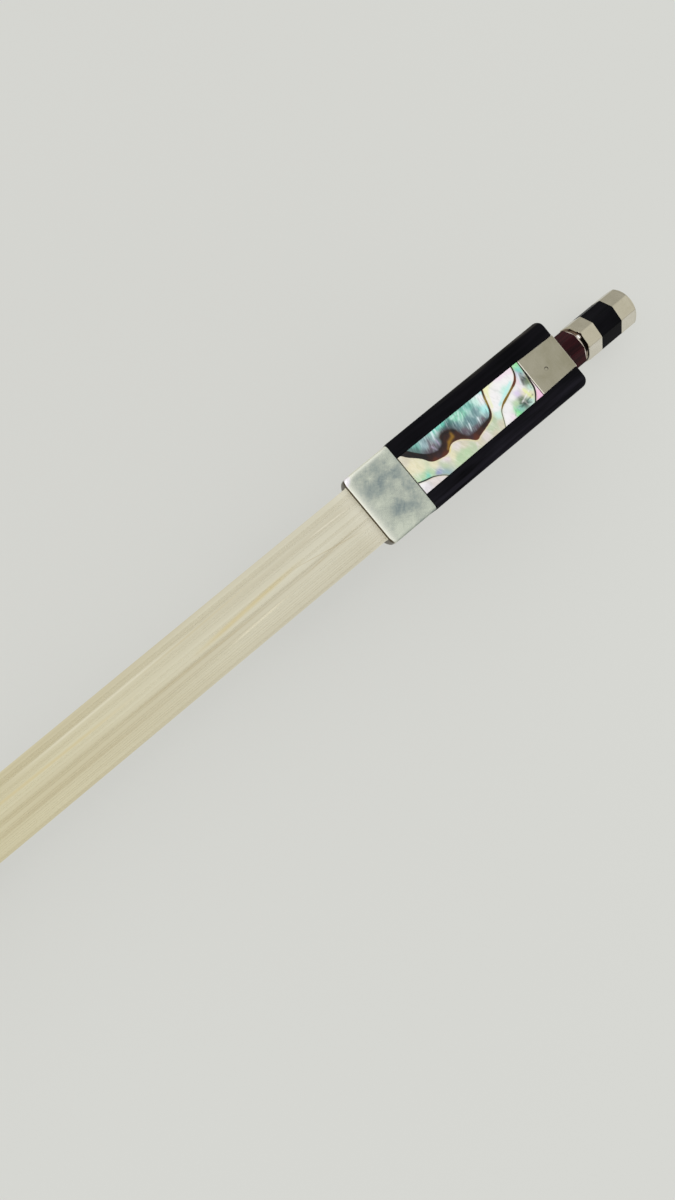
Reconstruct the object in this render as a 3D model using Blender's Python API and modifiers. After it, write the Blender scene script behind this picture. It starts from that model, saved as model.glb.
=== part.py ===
"""Viola bow: an octagonal stick with its head, a sliding frog, a screw button and the hair.

Metres, +Z up, hair side up. +X runs along the stick from the head to the button.
The origin is under the middle of the bow, on the surface that it lies on.
Local names: "u" is the distance from the ferrule's mouth towards the button,
"w" is the height above the screw's axis, "p" is the distance from the nose of the head.
"""
import math

import bpy
import bmesh

MM = 0.001

# Clearances
SEAT_GAP = 0.2 * MM
RUN_GAP = 0.3 * MM

# Whole bow
BOW_LENGTH = 748 * MM
HAIR_HEIGHT = 24.9 * MM
CAMBER_SLOPE = 0.123
CAMBER_START = 112 * MM

# Stick
STICK_FLATS = 8.8 * MM
STICK_TIP_DIAMETER = 5.7 * MM
ROUNDING_LENGTH = 60 * MM
STICK_STATIONS = 26
STICK_TAPER = 1.15
STICK_SIDES = 16
NIPPLE_DIAMETER = 6.4 * MM
NIPPLE_LENGTH = 2.2 * MM
EYELET_SLOT_FLOOR = 1.5 * MM

# Button and screw
BUTTON_FLATS = 9.05 * MM
BUTTON_ROLL = math.radians(8.0)
BUTTON_RING_LENGTH = 5.0 * MM
BUTTON_CORE_LENGTH = 6.2 * MM
BUTTON_CAP_LENGTH = 5.0 * MM
BEAD_DIAMETER = 8.3 * MM
BEAD_LENGTH = 0.4 * MM
BEAD_EDGE = 0.12 * MM
COVE_DEPTH = 0.2 * MM
COLLAR_LENGTH = 0.8 * MM
COLLAR_STEP_ANGLE = math.radians(68.0)
CAP_END_DIAMETER = 6.6 * MM
CAP_EDGE_DEPTH = 0.42 * MM
CAP_EDGE_WIDTH = 1.45 * MM
CAP_EDGE_END = 62
CAP_END_WALL = 1.5 * MM
RING_BORE_DEPTH = 2.6 * MM
CORE_PLUG_DIAMETER = 4.6 * MM
SCREW_DIAMETER = 2.8 * MM
SCREW_POINT_DIAMETER = 2.0 * MM
SCREW_POINT_LENGTH = 6.0 * MM
SCREW_IN_BUTTON = 11.0 * MM
SCREW_LENGTH = 76 * MM

# Frog
HEEL_GAP = 16.3 * MM
FROG_LENGTH = 51.4 * MM
FROG_WIDTH_FRONT = 15.55 * MM
FROG_WIDTH_HEEL = 15.7 * MM
FROG_CORNER_RADIUS = 1.6 * MM
FROG_EDGE_ROUNDING = 0.45 * MM
FROG_LIP_HEIGHT = 2.6 * MM
CHEEK_WAIST = 11.6 * MM
CHEEK_WAIST_HEIGHT = 5.0 * MM
RAIL_HEIGHT = 5.6 * MM
THROAT_RADIUS = 5.1 * MM
THROAT_DEPTH = 17.0 * MM
THROAT_ARC_END = 62
THUMB_LIP_START = 8.5 * MM
THUMB_LIP_HEIGHT = 6.4 * MM
THUMB_LIP_CHAMFER = 1.0 * MM
HEEL_FOOT_SETBACK = 1.6 * MM
HEEL_FOOT_HEIGHT = 4.5 * MM
FROG_TRAVEL_OUT = 1.5 * MM
FROG_TRAVEL_IN = 7.5 * MM

# Ferrule and what it holds
FERRULE_LENGTH = 11.1 * MM
FERRULE_WIDTH = 15.3 * MM
FERRULE_HEIGHT = 8.4 * MM
FERRULE_SIDE = 2.4 * MM
FERRULE_WALL = 0.55 * MM
FERRULE_CORNER_RADIUS = 0.9 * MM
FERRULE_INNER_RADIUS = 0.22 * MM
FERRULE_EDGE_ROUNDING = 0.18 * MM
FERRULE_PLAN_RADIUS = 1.1 * MM
TONGUE_SETBACK = 0.8 * MM
WEDGE_THICKNESS = 1.3 * MM
WEDGE_TAIL_THICKNESS = 0.45 * MM
WEDGE_SETBACK = 0.5 * MM
WEDGE_LENGTH = 8.5 * MM

# Hair
HAIR_THICKNESS = 0.8 * MM
HAIR_WIDTH_FROG = 12.5 * MM
HAIR_WIDTH_HEAD = 9.6 * MM
HAIR_WIDTH_MORTISE = 7.0 * MM
KNOT_DIAMETER = 3.2 * MM

# Slide, mortise and heel plates
SLIDE_WIDTH_FRONT = 8.4 * MM
SLIDE_WIDTH_REAR = 8.0 * MM
HEEL_PLATE_WIDTH_REAR = 7.5 * MM
SLIDE_FLARE = 0.5 * MM
SHELL_THICKNESS = 0.8 * MM
BED_THICKNESS = 1.5 * MM
HEEL_PLATE_LENGTH = 9.2 * MM
HEEL_PLATE_THICKNESS = 0.8 * MM
REAR_PLATE_HEIGHT = 12.0 * MM
REAR_PLATE_THICKNESS = 0.7 * MM
PLATE_PIN_DIAMETER = 0.9 * MM
PLATE_PIN_LENGTH = 4.0 * MM
PLATE_PIN_FROM_HEEL = 5.5 * MM
PLATE_PIN_OFFSET = 0.55 * MM
MORTISE_START = 19.0 * MM
MORTISE_LENGTH = 11.0 * MM
MORTISE_WIDTH = 7.6 * MM
MORTISE_DEPTH = 5.6 * MM

# Underslide, eyelet and eyes
UNDERSLIDE_THICKNESS = 0.4 * MM
UNDERSLIDE_PIN_DIAMETER = 1.2 * MM
UNDERSLIDE_PIN_LENGTH = 3.2 * MM
UNDERSLIDE_PIN_INSET = 4.0 * MM
EYELET_FROM_HEEL = 22.0 * MM
EYELET_LENGTH = 4.6 * MM
EYELET_WIDTH = 4.2 * MM
EYELET_HEIGHT = 5.4 * MM
EYELET_SHANK_DIAMETER = 2.8 * MM
EYELET_SHANK_LENGTH = 7.0 * MM
EYE_FROM_HEEL = 20.5 * MM
EYE_HEIGHT = 14.4 * MM
EYE_DISC_DIAMETER = 5.2 * MM
EYE_RING_DIAMETER = 7.2 * MM
EYE_DEPTH = 1.3 * MM

# Grip
LEATHER_GAP = 2.6 * MM
LEATHER_LENGTH = 30 * MM
LEATHER_THICKNESS = 0.9 * MM
LEATHER_EDGE_WEAR = 0.3 * MM
WINDING_LENGTH = 72 * MM
WINDING_THICKNESS = 0.35 * MM
WINDING_TURNS = 24
WINDING_GROOVE_SHARE = 0.3

# Head
HEAD_HEIGHT = 24.6 * MM
HEAD_LENGTH = 26.0 * MM
HEAD_WIDTH = 10.6 * MM
HEAD_WAIST_LENGTH = 18.8 * MM
HEAD_THROAT_RADIUS = 7.0 * MM
HEAD_RIDGE_LEAN = 6.0 * MM
HEAD_CHIN = 9.5 * MM
HEAD_CHIN_FALL = 2.6 * MM
HEAD_SIDE_FLARE = 1.7
HEAD_CREST_SHARE = 0.3
HEAD_THROAT_SHARE = 0.84
HEAD_EDGE_END = 0.25
HEAD_TAPER_START = 0.45
HEAD_TAPER_CURVE = 1.7
NOSE_WIDTH = 1.0 * MM
NOSE_DROP = 1.6 * MM
NOSE_DROP_START = 0.5
NOSE_SETBACK = 0.5 * MM
HEAD_PLATE_THICKNESS = 1.0 * MM
HEAD_LINER_THICKNESS = 0.5 * MM
HEAD_MORTISE_FROM_NOSE = 8.8 * MM
HEAD_MORTISE_LENGTH = 8.4 * MM
HEAD_MORTISE_WIDTH = 7.2 * MM
HEAD_MORTISE_DEPTH = 6.4 * MM
HEAD_LEVELS = 16
HEAD_LEVEL_START = 0.3
HEAD_LEVEL_GROWTH = 1.5
HEAD_SHARES = (0.0, 0.05, 0.14, 0.25, 0.45, 0.6, 0.72, 0.83, 0.92, 1.0)
STICK_IN_HEAD = 4.0 * MM
STICK_SHRINK_IN_HEAD = 0.9

# Places that follow from the sizes above
OCTANT = math.pi / 8
BOW_END = BOW_LENGTH / 2
NOSE_X = -BOW_LENGTH / 2
BUTTON_LENGTH = BUTTON_RING_LENGTH + BUTTON_CORE_LENGTH + BUTTON_CAP_LENGTH
BUTTON_X = BOW_END - BUTTON_LENGTH
STICK_END = BUTTON_X - RUN_GAP
HEEL_X = STICK_END - HEEL_GAP
MOUTH_X = HEEL_X - FROG_LENGTH
SHOULDER_X = MOUTH_X + FERRULE_LENGTH
SCREW_FRONT_X = BUTTON_X + SCREW_IN_BUTTON - SCREW_LENGTH
STICK_RADIUS = STICK_FLATS / 2
AXIS_Z = STICK_RADIUS + SEAT_GAP + LEATHER_THICKNESS
FACE_Z = AXIS_Z + HAIR_HEIGHT
TIP_RADIUS = STICK_TIP_DIAMETER / 2
STRAIGHT_END_X = MOUTH_X - CAMBER_START
STICK_HEAD_X = NOSE_X + HEAD_WAIST_LENGTH + HEAD_THROAT_RADIUS - STICK_IN_HEAD
HAIR_TOP_FROG = FACE_Z - FERRULE_WALL - SEAT_GAP
HAIR_FLOOR_FROG = HAIR_TOP_FROG - HAIR_THICKNESS - SEAT_GAP
TONGUE_TOP = HAIR_FLOOR_FROG - WEDGE_THICKNESS - SEAT_GAP
SLOT_FLOOR = FACE_Z - SHELL_THICKNESS - BED_THICKNESS - 2 * SEAT_GAP - HAIR_THICKNESS - SEAT_GAP
PLATE_FRONT_X = HEEL_X - HEEL_PLATE_LENGTH
EYELET_X = HEEL_X - EYELET_FROM_HEEL
EYE_X = HEEL_X - EYE_FROM_HEEL
LINING_INNER = STICK_RADIUS + RUN_GAP
SEAT_INNER = LINING_INNER + UNDERSLIDE_THICKNESS + SEAT_GAP
THUMB_X = MOUTH_X + THUMB_LIP_START
WOOD_HEAD_TOP = HEAD_HEIGHT - HEAD_PLATE_THICKNESS - HEAD_LINER_THICKNESS - 2 * SEAT_GAP
HEAD_MORTISE_X = NOSE_X + HEAD_MORTISE_FROM_NOSE + HEAD_MORTISE_LENGTH / 2

# Every outline reaches this far past a face that it cuts through
OVERCUT = 1.0 * MM
ROUND_STEPS = 32
SMALL_STEPS = 16
CHEEK_STEPS = 240


def clear_scene():
    """Removes every object of the open scene."""
    for thing in list(bpy.data.objects):
        bpy.data.objects.remove(thing, do_unlink=True)


def new_collection(name):
    """A collection linked to the scene."""
    group = bpy.data.collections.new(name)
    bpy.context.scene.collection.children.link(group)
    return group


def new_material(name, colour, roughness, metallic=0.0):
    """A Principled BSDF material."""
    finish = bpy.data.materials.new(name)
    finish.use_nodes = True
    shader = finish.node_tree.nodes["Principled BSDF"]
    shader.inputs["Base Color"].default_value = (*colour, 1.0)
    shader.inputs["Roughness"].default_value = roughness
    shader.inputs["Metallic"].default_value = metallic
    return finish


def place_mesh(name, bm, group, finish=None):
    """Turns a bmesh into an object of the given collection."""
    mesh = bpy.data.meshes.new(name)
    bm.to_mesh(mesh)
    bm.free()
    thing = bpy.data.objects.new(name, mesh)
    group.objects.link(thing)
    if finish is None:
        thing.hide_render = True
        thing.display_type = "WIRE"
    else:
        mesh.materials.append(finish)
    return thing


def add_part(name, bm, finish, smooth_angle=None):
    """A piece of the bow, shaded smooth where its faces meet flatter than the angle."""
    thing = place_mesh(name, bm, PARTS, finish)
    if smooth_angle is not None:
        thing.data.shade_smooth()
        thing.data.set_sharp_from_angle(angle=math.radians(smooth_angle))
    return thing


def add_cutter(name, bm):
    """A hidden solid that cuts, joins or trims a piece."""
    return place_mesh(name, bm, CUTTERS)


def combine(thing, other, operation):
    """Booleans one mesh with another, and leaves the modifier on it."""
    step = thing.modifiers.new(operation.lower() + "_" + other.name, "BOOLEAN")
    step.object = other
    step.operation = operation
    step.solver = "EXACT"


def face_outward(bm):
    """Makes every face of a closed solid point out of it."""
    bm.normal_update()
    bmesh.ops.recalc_face_normals(bm, faces=bm.faces)
    if bm.calc_volume(signed=True) < 0:
        bmesh.ops.reverse_faces(bm, faces=bm.faces)
    return bm


def loft(rings, strip_caps=False):
    """A closed bmesh through rings of equal length. Strip caps pair a ring's two halves."""
    bm = bmesh.new()
    loops = [[bm.verts.new(point) for point in ring] for ring in rings]
    count = len(loops[0])
    for near, far in zip(loops, loops[1:]):
        for i in range(count):
            j = (i + 1) % count
            bm.faces.new((near[i], near[j], far[j], far[i]))
    for loop in (loops[0], loops[-1]):
        if strip_caps:
            for i in range(count // 2 - 1):
                bm.faces.new((loop[i], loop[i + 1], loop[count - 2 - i], loop[count - 1 - i]))
        else:
            bm.faces.new(loop)
    return face_outward(bm)


def bar(rings_at):
    """A bar along X through (x, [(y, z), ...]) sections."""
    return loft([[(x, y, z) for y, z in section] for x, section in rings_at])


def box(x_low, x_high, width, z_low, z_high):
    """A box centred on the bow's plane of symmetry."""
    bm = bmesh.new()
    bmesh.ops.create_cube(bm, size=1.0)
    for vert in bm.verts:
        vert.co.x = x_low + (vert.co.x + 0.5) * (x_high - x_low)
        vert.co.y = vert.co.y * width
        vert.co.z = z_low + (vert.co.z + 0.5) * (z_high - z_low)
    return bm


def rod(centre, axis, radius, length, steps=SMALL_STEPS, roll=0.0):
    """A capped cylinder that starts at its centre point and runs along the X, Y or Z axis."""
    bm = bmesh.new()
    bmesh.ops.create_cone(bm, cap_ends=True, segments=steps, radius1=radius, radius2=radius, depth=1.0)
    for vert in bm.verts:
        along = (vert.co.z + 0.5) * length
        a = vert.co.x * math.cos(roll) - vert.co.y * math.sin(roll)
        b = vert.co.x * math.sin(roll) + vert.co.y * math.cos(roll)
        offset = {"X": (along, a, b), "Y": (a, along, b), "Z": (a, b, along)}[axis]
        vert.co = (centre[0] + offset[0], centre[1] + offset[1], centre[2] + offset[2])
    return face_outward(bm)


def octagon_rod(x_low, x_high, flats, roll=0.0):
    """An octagonal bar about the screw's axis, with a flat towards the hair when its roll is zero."""
    corner = flats / 2 / math.cos(OCTANT)
    return rod((x_low, 0, AXIS_Z), "X", corner, x_high - x_low, steps=8, roll=OCTANT + roll)


def prism(outline, plane, low, high, rounding=0.0, hole=None):
    """A flat outline in the XY, XZ or YZ plane, extruded from low to high, with rounded rims."""
    flat = bpy.data.curves.new("outline", "CURVE")
    flat.dimensions = "2D"
    flat.fill_mode = "BOTH"
    flat.extrude = (high - low) / 2 - rounding
    flat.bevel_depth = rounding
    flat.bevel_resolution = 1
    flat.offset = -rounding
    for points in (outline, hole):
        if points is not None:
            spline = flat.splines.new("POLY")
            spline.points.add(len(points) - 1)
            for slot, point in zip(spline.points, points):
                slot.co = (point[0], point[1], 0, 1)
            spline.use_cyclic_u = True
    carrier = bpy.data.objects.new("outline", flat)
    turn = {"XY": (0, 0, 0), "XZ": (math.pi / 2, 0, 0), "YZ": (math.pi / 2, 0, math.pi / 2)}[plane]
    carrier.rotation_euler = turn
    middle = (low + high) / 2
    carrier.location = {"XY": (0, 0, middle), "XZ": (0, middle, 0), "YZ": (middle, 0, 0)}[plane]
    PARTS.objects.link(carrier)
    bpy.context.view_layer.update()
    mesh = bpy.data.meshes.new_from_object(carrier.evaluated_get(bpy.context.evaluated_depsgraph_get()))
    bm = bmesh.new()
    bm.from_mesh(mesh)
    bmesh.ops.remove_doubles(bm, verts=bm.verts, dist=0.000002)
    bmesh.ops.transform(bm, matrix=carrier.matrix_world, verts=bm.verts)
    face_outward(bm)
    bpy.data.objects.remove(carrier, do_unlink=True)
    bpy.data.curves.remove(flat)
    bpy.data.meshes.remove(mesh)
    return bm


def turn_about_axis(name, profile, finish=None, steps=ROUND_STEPS):
    """A profile of (x, radius) points, from +X to -X down its outer side, turned about the screw's axis."""
    bm = bmesh.new()
    verts = [bm.verts.new((radius, 0, x)) for x, radius in profile]
    for first, second in zip(verts, verts[1:]):
        bm.edges.new((first, second))
    thing = place_mesh(name, bm, CUTTERS if finish is None else PARTS, finish)
    thing.rotation_euler = (0, math.pi / 2, 0)
    thing.location = (0, 0, AXIS_Z)
    screw = thing.modifiers.new("turning", "SCREW")
    screw.axis = "Z"
    screw.steps = steps
    screw.render_steps = steps
    screw.use_merge_vertices = True
    screw.merge_threshold = 0.00001
    screw.use_smooth_shade = finish is not None
    return thing


def arc(centre, radius, start, end, count):
    """Points on an arc, angles in degrees."""
    spread = [start + (end - start) * i / (count - 1) for i in range(count)]
    return [(centre[0] + radius * math.cos(math.radians(a)),
             centre[1] + radius * math.sin(math.radians(a))) for a in spread]


def stick_centre(x):
    """Height of the stick's centre line: straight at the grip, then cambered towards the hair."""
    span = STRAIGHT_END_X - STICK_HEAD_X
    t = max(0.0, (STRAIGHT_END_X - x) / span)
    fall = (TIP_RADIUS - AXIS_Z) * (3 * t ** 2 - 2 * t ** 3)
    return AXIS_Z + fall + CAMBER_SLOPE * span * (t ** 2 - t ** 3)


def stick_section(x, shrink=1.0):
    """Points round the stick, two for each facet: an octagon at the grip that becomes a circle."""
    span = STRAIGHT_END_X - STICK_HEAD_X
    t = min(1.0, max(0.0, (STRAIGHT_END_X - x) / span))
    radius = shrink * (STICK_RADIUS - (STICK_RADIUS - TIP_RADIUS) * t ** STICK_TAPER)
    roundness = min(1.0, max(0.0, (STRAIGHT_END_X - x) / ROUNDING_LENGTH))
    corner = 1 / math.cos(OCTANT)
    points = []
    for k in range(STICK_SIDES):
        reach = radius * (1 + (corner - 1) * (1 - roundness) * (k % 2))
        angle = k * OCTANT
        points.append((reach * math.cos(angle), stick_centre(x) + reach * math.sin(angle)))
    return points


def head_width_at(q):
    """Half width of the head at height q: round at the stick's back, flared towards the plate."""
    if q < TIP_RADIUS:
        return math.sqrt(TIP_RADIUS ** 2 - (TIP_RADIUS - q) ** 2)
    flare = (q - TIP_RADIUS) / (WOOD_HEAD_TOP - TIP_RADIUS)
    return TIP_RADIUS + (HEAD_WIDTH / 2 - TIP_RADIUS) * flare ** HEAD_SIDE_FLARE


def head_rear_at(q):
    """Distance from the nose to the head's throat face at height q."""
    waist = TIP_RADIUS * 2 + HEAD_THROAT_RADIUS
    if q > waist:
        rise = (q - waist) / (WOOD_HEAD_TOP - waist)
        return HEAD_WAIST_LENGTH + (HEAD_LENGTH - HEAD_WAIST_LENGTH) * rise ** 2
    drop = min(waist - q, HEAD_THROAT_RADIUS)
    return HEAD_WAIST_LENGTH + HEAD_THROAT_RADIUS - math.sqrt(HEAD_THROAT_RADIUS ** 2 - drop ** 2)


def head_front_at(q):
    """Distance from the nose to the head's ridge at height q."""
    lean = HEAD_RIDGE_LEAN * (1 - q / WOOD_HEAD_TOP)
    return NOSE_SETBACK + lean + HEAD_CHIN * math.exp(-q / HEAD_CHIN_FALL)


def throat_share(q):
    """Share of the full width at the throat's edge: round as the stick up to its top, then widening."""
    if q <= TIP_RADIUS:
        return 1.0
    if q < 2 * TIP_RADIUS:
        return max(HEAD_CREST_SHARE, math.sqrt(1 - (q / TIP_RADIUS - 1) ** 2))
    rise = min(1.0, (q - 2 * TIP_RADIUS) / HEAD_THROAT_RADIUS)
    return HEAD_CREST_SHARE + (HEAD_THROAT_SHARE - HEAD_CREST_SHARE) * rise


def head_taper(f, q=None):
    """Share of the full width at share f of the way to the nose, at height q or at the face."""
    if f < HEAD_EDGE_END:
        edge = HEAD_THROAT_SHARE if q is None else throat_share(q)
        return edge + (1 - edge) * math.sqrt(1 - (1 - f / HEAD_EDGE_END) ** 2)
    nose_share = NOSE_WIDTH / HEAD_WIDTH
    run = max(0.0, (f - HEAD_TAPER_START) / (1 - HEAD_TAPER_START))
    return 1 - (1 - nose_share) * run ** HEAD_TAPER_CURVE


def nose_drop_at(f):
    """How far the head's face curves down at share f of the way to the nose."""
    return NOSE_DROP * max(0.0, (f - NOSE_DROP_START) / (1 - NOSE_DROP_START)) ** 2


def head_ring(q, drop=0.0):
    """The head's outline at height q, from throat to nose along one side and back along the other."""
    rear = head_rear_at(q)
    front = head_front_at(q)
    half = head_width_at(q)
    side = []
    for f in HEAD_SHARES:
        p = rear + (front - rear) * f
        back_rise = CAMBER_SLOPE * max(0.0, NOSE_X + p - STICK_HEAD_X) * (1 - q / WOOD_HEAD_TOP)
        side.append((NOSE_X + p, half * head_taper(f, q), q + back_rise - drop * nose_drop_at(f)))
    return side + [(x, -y, z) for x, y, z in reversed(side)]


def make_stick(finish):
    """The stick and its head, one piece of wood, with the screw's bore and the three mortises."""
    handle = [STICK_END, EYELET_X, MOUTH_X - LEATHER_GAP, STRAIGHT_END_X]
    span = STRAIGHT_END_X - STICK_HEAD_X
    shaft = [STRAIGHT_END_X - span * i / STICK_STATIONS for i in range(1, STICK_STATIONS + 1)]
    sections = [(x, stick_section(x)) for x in handle + shaft]
    sections[-1] = (STICK_HEAD_X, stick_section(STICK_HEAD_X, STICK_SHRINK_IN_HEAD))
    stick = add_part("stick", bar(sections), finish, 30)
    levels = [WOOD_HEAD_TOP * ((i + HEAD_LEVEL_START) / HEAD_LEVELS) ** HEAD_LEVEL_GROWTH
              for i in range(HEAD_LEVELS)]
    head = loft([head_ring(q) for q in levels] + [head_ring(WOOD_HEAD_TOP, 1.0)], strip_caps=True)
    bmesh.ops.triangulate(head, faces=head.faces)
    combine(stick, add_cutter("head_form", head), "UNION")
    nipple = rod((STICK_END - OVERCUT, 0, AXIS_Z), "X", NIPPLE_DIAMETER / 2, NIPPLE_LENGTH + OVERCUT,
                 ROUND_STEPS)
    combine(stick, add_cutter("nipple_form", nipple), "UNION")
    bore_start = SCREW_FRONT_X - RUN_GAP
    bore = rod((bore_start, 0, AXIS_Z), "X", SCREW_DIAMETER / 2 + RUN_GAP,
               STICK_END + NIPPLE_LENGTH + OVERCUT - bore_start)
    combine(stick, add_cutter("screw_bore", bore), "DIFFERENCE")
    slot = box(EYELET_X - EYELET_LENGTH / 2 - FROG_TRAVEL_OUT - RUN_GAP,
               EYELET_X + EYELET_LENGTH / 2 + FROG_TRAVEL_IN + RUN_GAP,
               EYELET_WIDTH + 2 * RUN_GAP,
               AXIS_Z - STICK_RADIUS + EYELET_SLOT_FLOOR, AXIS_Z + STICK_RADIUS + OVERCUT)
    combine(stick, add_cutter("eyelet_slot", slot), "DIFFERENCE")
    mortise = box(HEAD_MORTISE_X - HEAD_MORTISE_LENGTH / 2, HEAD_MORTISE_X + HEAD_MORTISE_LENGTH / 2,
                  HEAD_MORTISE_WIDTH, WOOD_HEAD_TOP - HEAD_MORTISE_DEPTH, HEAD_HEIGHT + OVERCUT)
    combine(stick, add_cutter("head_mortise", mortise), "DIFFERENCE")


def make_head_plate(name, z_low, thickness, nose_reach, finish):
    """A thin plate that follows the head's face and curves down at the nose."""
    rings = []
    for f in HEAD_SHARES:
        p = HEAD_LENGTH + (nose_reach - HEAD_LENGTH) * f
        half = HEAD_WIDTH / 2 * head_taper(f)
        z = z_low - nose_drop_at(f)
        rings.append([(NOSE_X + p, half, z), (NOSE_X + p, half, z + thickness),
                      (NOSE_X + p, -half, z + thickness), (NOSE_X + p, -half, z)])
    plate = add_part(name, loft(rings), finish, 30)
    combine(plate, bpy.data.objects["head_mortise"], "DIFFERENCE")


def make_head_fittings(bone, fibre, wedge_wood, hair):
    """Plate, liner, hair knot and wedge of the head."""
    liner_z = WOOD_HEAD_TOP + SEAT_GAP
    make_head_plate("head_plate_liner", liner_z, HEAD_LINER_THICKNESS, NOSE_SETBACK, fibre)
    plate_z = liner_z + HEAD_LINER_THICKNESS + SEAT_GAP
    make_head_plate("head_plate", plate_z, HEAD_PLATE_THICKNESS, 0.0, bone)
    floor = WOOD_HEAD_TOP - HEAD_MORTISE_DEPTH
    rear = HEAD_MORTISE_X + HEAD_MORTISE_LENGTH / 2 - SEAT_GAP
    front = HEAD_MORTISE_X - HEAD_MORTISE_LENGTH / 2 + SEAT_GAP
    knot_x = rear - KNOT_DIAMETER / 2
    knot_z = floor + SEAT_GAP + KNOT_DIAMETER / 2
    width = HEAD_MORTISE_WIDTH - 2 * SEAT_GAP
    knot = rod((knot_x, -width / 2, knot_z), "Y", KNOT_DIAMETER / 2, width)
    knot = add_part("head_hair_knot", knot, hair, 30)
    tail = box(rear - HAIR_THICKNESS, rear, width, knot_z, HEAD_HEIGHT - RUN_GAP)
    combine(knot, add_cutter("head_hair_tail", tail), "UNION")
    over_knot = knot_z + KNOT_DIAMETER / 2 + SEAT_GAP
    wedge_rear = rear - HAIR_THICKNESS - SEAT_GAP
    outline = [(front, floor + SEAT_GAP), (knot_x - KNOT_DIAMETER / 2 - SEAT_GAP, floor + SEAT_GAP),
               (knot_x - KNOT_DIAMETER / 2 - SEAT_GAP, over_knot), (wedge_rear, over_knot),
               (wedge_rear, HEAD_HEIGHT - RUN_GAP), (front, HEAD_HEIGHT - RUN_GAP)]
    add_part("head_wedge", prism(outline, "XZ", -width / 2, width / 2), wedge_wood)


def make_hair_ribbon(hair):
    """The free stretch of hair, from the head's mortise to the mouth of the ferrule."""
    head_x = HEAD_MORTISE_X + HEAD_MORTISE_LENGTH / 2 - HAIR_THICKNESS
    head_z = HEAD_HEIGHT + SEAT_GAP
    frog_x = MOUTH_X - SEAT_GAP
    frog_z = HAIR_TOP_FROG - HAIR_THICKNESS

    def section(width, z):
        half = width / 2
        return [(-half, z), (half, z), (half, z + HAIR_THICKNESS), (-half, z + HAIR_THICKNESS)]

    ribbon = bar([(head_x, section(HAIR_WIDTH_HEAD, head_z)), (frog_x, section(HAIR_WIDTH_FROG, frog_z))])
    add_part("hair_ribbon", ribbon, hair)


def ferrule_outline(inset):
    """The D of the ferrule: flat towards the hair side, half an ellipse towards the stick."""
    half = FERRULE_WIDTH / 2 - inset
    top = FACE_Z - inset
    side = FACE_Z - FERRULE_SIDE
    depth = FERRULE_HEIGHT - FERRULE_SIDE - inset
    corner = max(FERRULE_CORNER_RADIUS - inset, FERRULE_INNER_RADIUS)
    right = arc((half - corner, top - corner), corner, 0, 90, 4)
    left = arc((corner - half, top - corner), corner, 90, 180, 4)
    belly = [(half * math.cos(math.radians(a)), side + depth * math.sin(math.radians(a)))
             for a in range(180, 361, 12)]
    return right + left + belly


def ferrule_corner(sign):
    """What is filed off one front corner of the ferrule, as it is seen from the hair side."""
    half = FERRULE_WIDTH / 2
    r = FERRULE_PLAN_RADIUS
    round_edge = arc((MOUTH_X + r, half - r), r, 180, 90, 6)
    outline = round_edge + [(MOUTH_X + r, half + OVERCUT), (MOUTH_X - OVERCUT, half + OVERCUT),
                            (MOUTH_X - OVERCUT, half - r)]
    return [(x, sign * y) for x, y in outline]


def make_ferrule(silver):
    """A D-shaped band round the frog's tongue, with its two front corners filed round."""
    band = prism(ferrule_outline(0.0), "YZ", MOUTH_X, SHOULDER_X - SEAT_GAP,
                 hole=ferrule_outline(FERRULE_WALL))
    ferrule = add_part("ferrule", band, silver, 30)
    low = FACE_Z - FERRULE_HEIGHT - OVERCUT
    for name, sign in (("left", 1), ("right", -1)):
        corner = prism(ferrule_corner(sign), "XY", low, FACE_Z + OVERCUT)
        combine(ferrule, add_cutter("ferrule_corner_" + name, corner), "DIFFERENCE")
    rounding = ferrule.modifiers.new("edge_rounding", "BEVEL")
    rounding.width = FERRULE_EDGE_ROUNDING
    rounding.segments = 1
    rounding.limit_method = "ANGLE"
    rounding.angle_limit = math.radians(60)


def frog_side_outline():
    """The frog from the side, in world X and Z, without its tongue."""
    low = AXIS_Z + FROG_LIP_HEIGHT
    heel_foot = (HEEL_X, low + HEEL_FOOT_HEIGHT)
    throat_centre = (MOUTH_X + THROAT_DEPTH - THROAT_RADIUS, AXIS_Z + THUMB_LIP_HEIGHT + THROAT_RADIUS)
    ferrule_low = FACE_Z - FERRULE_HEIGHT
    throat = arc(throat_centre, THROAT_RADIUS, -90, THROAT_ARC_END, 16)
    lip_top = AXIS_Z + THUMB_LIP_HEIGHT
    return ([(HEEL_X - HEEL_FOOT_SETBACK, low), heel_foot, (HEEL_X, FACE_Z), (SHOULDER_X, FACE_Z),
             (SHOULDER_X, ferrule_low)] + list(reversed(throat))
            + [(THUMB_X + THUMB_LIP_CHAMFER, lip_top), (THUMB_X, lip_top - THUMB_LIP_CHAMFER),
               (THUMB_X, low)])


def frog_plan_outline():
    """The frog from the hair side, with its two rounded heel corners."""
    front = FROG_WIDTH_FRONT / 2
    heel = FROG_WIDTH_HEEL / 2
    r = FROG_CORNER_RADIUS
    start = THUMB_X - OVERCUT
    right = arc((HEEL_X - r, -heel + r), r, -90, 0, 6)
    left = arc((HEEL_X - r, heel - r), r, 0, 90, 6)
    return [(start, -front), (SHOULDER_X, -front)] + right + left + [(SHOULDER_X, front), (start, front)]


def slide_half_width(x, depth):
    """Half width of the slide's dovetail at place x and depth below the face."""
    run = (x - SHOULDER_X) / (PLATE_FRONT_X - SHOULDER_X)
    top = SLIDE_WIDTH_FRONT + (SLIDE_WIDTH_REAR - SLIDE_WIDTH_FRONT) * run
    return top / 2 + SLIDE_FLARE * depth / (SHELL_THICKNESS + BED_THICKNESS)


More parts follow.
